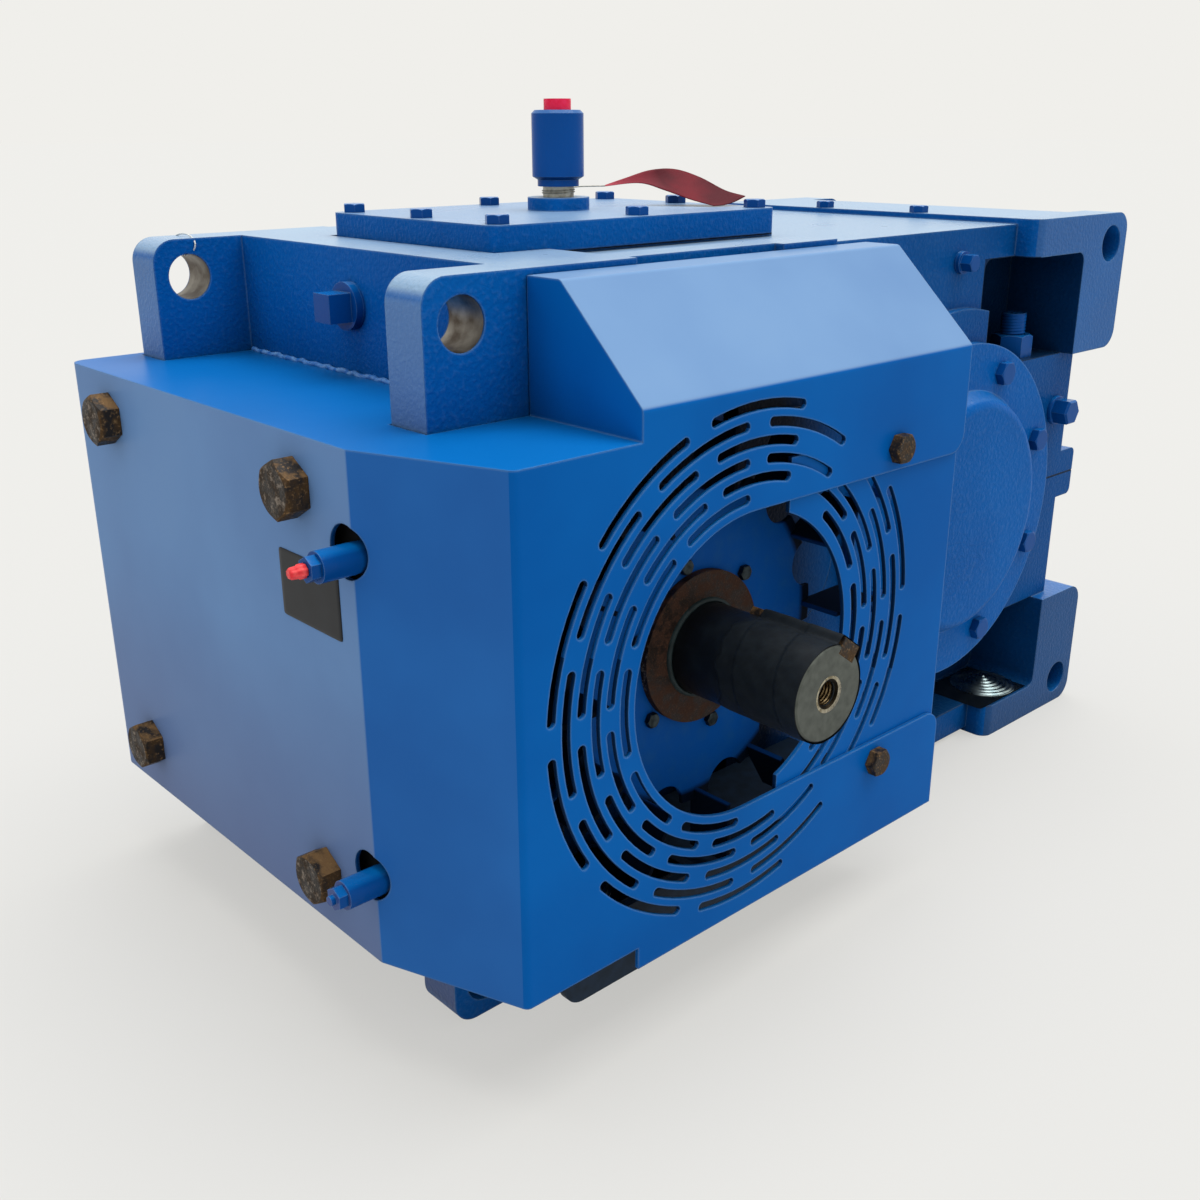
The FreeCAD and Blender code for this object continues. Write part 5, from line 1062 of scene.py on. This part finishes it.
# %% Painted shade behind the pipe holes
PIPE_RADIUS = 0.013
TIGHT_RADIUS = 0.0123
LOOSE_RADIUS = 0.034
LOOSE_OFFSET = np.array((0.0, 0.018, -0.002))
HOLE_SHADE_DEPTH = 0.013
hole_shade_turn = full_turn(64)
circle = np.stack([np.zeros(len(hole_shade_turn)), np.cos(hole_shade_turn), np.sin(hole_shade_turn)], axis=1)
pipes_low, pipes_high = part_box("grease_pipes")
for number, height in enumerate((pipes_low.z + PIPE_RADIUS, pipes_high.z - PIPE_RADIUS)):
    middle = np.array((cowl_low.x + HOLE_SHADE_DEPTH, cap_root[1], height))
    points = np.stack([middle + TIGHT_RADIUS * circle, middle + LOOSE_OFFSET + LOOSE_RADIUS * circle])
    # A near-black ring behind each hole, as painted shade.
    hole_shade_ring = grid_piece(f"pipe_hole_shade_{number}", points, hole_shade_black, "housing", round_second=True,
                        turn_over=True)
print("pipe washers at", round(cowl_low.x + HOLE_SHADE_DEPTH, 3))

# %% [markdown]
# ## Large head on the level plug
# The plug beside the drive end's flange has a larger head than the one under the top rim. A turned
# collar and a six-sided head, which is the same turned surface in only six steps, are fitted over the
# plain plug.

# %% Level plug
COLLAR_RADIUS = 0.0175
HEAD_CORNERS = 0.0162
HEAD_SIDES = 6
SEAL_RADIUS = 0.012
SEAL_THICKNESS = 0.002
collar_profile = [(COLLAR_RADIUS, 0.0), (COLLAR_RADIUS, 0.0042), (0.0167, 0.005), (0.011, 0.005)]
head_profile = [(HEAD_CORNERS, 0.0045), (HEAD_CORNERS, 0.022), (0.0142, 0.0245), (0.0, 0.0245)]
seal_low, seal_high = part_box("hex_plug_seals")
plug_root = (seal_high.x - SEAL_RADIUS, seal_low.y + SEAL_THICKNESS, seal_low.z + SEAL_RADIUS)
plug_pieces = (("level_plug_collar", collar_profile, 64), ("level_plug_head", head_profile, HEAD_SIDES))
for name, profile, steps in plug_pieces:
    points = turned_surface(profile, plug_root, (0, -1, 0), steps)
    part = grid_piece(name, points, bolt_enamel, "housing", round_first=True, turn_over=True)
    part.data.polygons.foreach_set("use_smooth", np.full(len(part.data.polygons), steps > HEAD_SIDES))
print("level plug at", np.round(plug_root, 3).tolist())

# %% [markdown]
# ## Sealant
# A wavy bead of sealant, painted over, runs along the shelf where the cowl meets the end wall. A
# straight bead would look machined, so its path wanders by a few sines, which come out the same on
# each run.

# %% Sealant bead
SHELF_HEIGHT = 0.52
WALL_X = -0.4365
BEAD_HALF_LENGTH = 0.187
BEAD_RADIUS = 0.0026
BEAD_OFF_WALL = 0.002
BEAD_RAISE = 0.0008
run = np.linspace(-BEAD_HALF_LENGTH, BEAD_HALF_LENGTH, 260)
sway = 0.0008 * np.sin(run * 150) + 0.0006 * np.sin(run * 410 + 1)
lift = BEAD_RAISE + 0.0006 * np.sin(run * 270 + 2)
bead_path = np.stack([WALL_X - BEAD_OFF_WALL + sway, run, SHELF_HEIGHT + lift], axis=1)
# Painted highlight: the paler second tone in patches stands for gloss on the blue bead.
sealant_with_glints = moulded("sealant_with_painted_glints", "#0E5CA8", 0.3, "#6E9CCB", 9, 0.2)
bead = grid_piece("sealant_bead", tube_surface(bead_path, BEAD_RADIUS), sealant_with_glints, "housing",
                  round_second=True)
print("bead points:", len(bead.data.vertices))

# %% [markdown]
# ## Wire in the back lug
# A thin white wire is looped through the lifting hole at the back left. Its path is an ellipse round
# the top of the lug that leans a little, and the tube along it is closed in both directions.

# %% Wire loop
LOOP_RADIUS = 0.0008
LOOP_ASIDE = 0.0075
LOOP_RAISE = 0.028
LOOP_LEAN = 0.002
LOOP_HALF = (0.0246, 0.0096)
back_left = next(mount for mount in mounts if mount["name"] == "lifting_hole_back_left")
lug_x, lug_y, lug_z = back_left["pos_m"]
around = full_turn(72)
wire_path = np.stack([lug_x + LOOP_ASIDE + LOOP_LEAN * np.sin(around),
                      lug_y + LOOP_HALF[0] * np.cos(around),
                      lug_z + LOOP_RAISE + LOOP_HALF[1] * np.sin(around)], axis=1)
white = moulded("white_coated_wire", "#D9DAD6", 0.4, "#C4C6C2", 4, 0.02)
loop = grid_piece("lug_wire", tube_surface(wire_path, LOOP_RADIUS), white, "housing", True, True)
print("wire points:", len(loop.data.vertices))

# %% [markdown]
# ## Camera
# The camera stands where the photograph was taken from. Its three axes were solved from the straight
# edges of the machine, and the lens from how fast those edges converge.

# %% Camera at the photograph's place
SENSOR_MM = 36.0
FOCAL_PIXELS = 1292.67
IMAGE_PIXELS = 1200
CAMERA_PLACE = (-1.0545, -0.9983, 0.7296)
camera_data = bpy.data.cameras.new("camera")
camera_data.sensor_width = SENSOR_MM
camera_data.lens = SENSOR_MM * FOCAL_PIXELS / IMAGE_PIXELS
camera = bpy.data.objects.new("camera", camera_data)
bpy.context.scene.collection.objects.link(camera)
right = Vector((0.73792, -0.67488, -0.00296))
forward = Vector((0.63259, 0.69320, -0.34541))
upward = right.cross(forward)
turned_to_view = Matrix((right, upward, -forward)).transposed().to_4x4()
camera.matrix_world = Matrix.Translation(CAMERA_PLACE) @ turned_to_view
bpy.context.scene.camera = camera
print("lens mm:", round(camera_data.lens, 2))

# %% [markdown]
# ## Floor
# A pale floor stands in for a studio's. Rays from the camera, from gloss and through glass see the
# plain pale background on it, thinned by the object's shadow.

# %% Pale floor
PALE = "#F0EFEB"
FLOOR_HALF = 60
SHADOW_SHARE = 0.42


def seen_directly(tree):
    """1 for rays from the camera, from gloss or through glass, 0 for rays that only carry light."""
    rays = add(tree, "LightPath").outputs
    seen = add(tree, "Math", (rays["Is Camera Ray"], rays["Is Glossy Ray"]), operation="MAXIMUM")
    return add(tree, "Math", (seen, rays["Is Transmission Ray"]), operation="MAXIMUM")


floor_corners = [(i * FLOOR_HALF, j * FLOOR_HALF, 0) for i, j in ((-1, -1), (1, -1), (1, 1), (-1, 1))]
floor_mesh = bpy.data.meshes.new("floor")
floor_mesh.from_pydata(floor_corners, [], [(0, 1, 2, 3)])
floor = bpy.data.objects.new("floor", floor_mesh)
bpy.context.scene.collection.objects.link(floor)
floor_finish, tree, _ = new_finish("pale_studio_floor")
lit = add(tree, "BsdfDiffuse", {"Color": linear("#C1C0BC")})
plain = add(tree, "Emission", {"Color": linear(PALE), "Strength": 1.0})
plain_share = add(tree, "Math", (seen_directly(tree), 1 - SHADOW_SHARE), operation="MULTIPLY")
mixed = add(tree, "MixShader", (plain_share, lit, plain))
add(tree, "OutputMaterial", (mixed,))
floor.data.materials.append(floor_finish)
print("floor metres across:", 2 * FLOOR_HALF)

# %% [markdown]
# ## Sky and sun
# An even pale sky lights everything softly, and one wide sun from above makes the tops brighter and
# drops a soft shadow. Rays that see the sky directly get the plain pale background instead.

# %% Sky and sun
SKY_STRENGTH = 0.9
SUN_ENERGY = 2.6
SUN_WIDTH = math.radians(55)
SUN_HEADING = Vector((-0.2, 0.06, -0.98))
world = bpy.data.worlds.new("studio_sky")
bpy.context.scene.world = world
world.use_nodes = True
tree = world.node_tree
tree.nodes.clear()
lamp_sky = add(tree, "Background", {"Color": linear("#F4F6FA"), "Strength": SKY_STRENGTH})
plain_sky = add(tree, "Background", {"Color": linear(PALE), "Strength": 1.0})
mixed = add(tree, "MixShader", (seen_directly(tree), lamp_sky, plain_sky))
add(tree, "OutputWorld", (mixed,))

sun_data = bpy.data.lights.new("wide_sun", "SUN")
sun_data.energy = SUN_ENERGY
sun_data.angle = SUN_WIDTH
sun = bpy.data.objects.new("wide_sun", sun_data)
sun.rotation_euler = SUN_HEADING.to_track_quat("-Z", "Y").to_euler()
bpy.context.scene.collection.objects.link(sun)

bpy.context.scene.view_settings.view_transform = "Standard"
print("sky strength:", SKY_STRENGTH, "sun energy:", sun_data.energy)
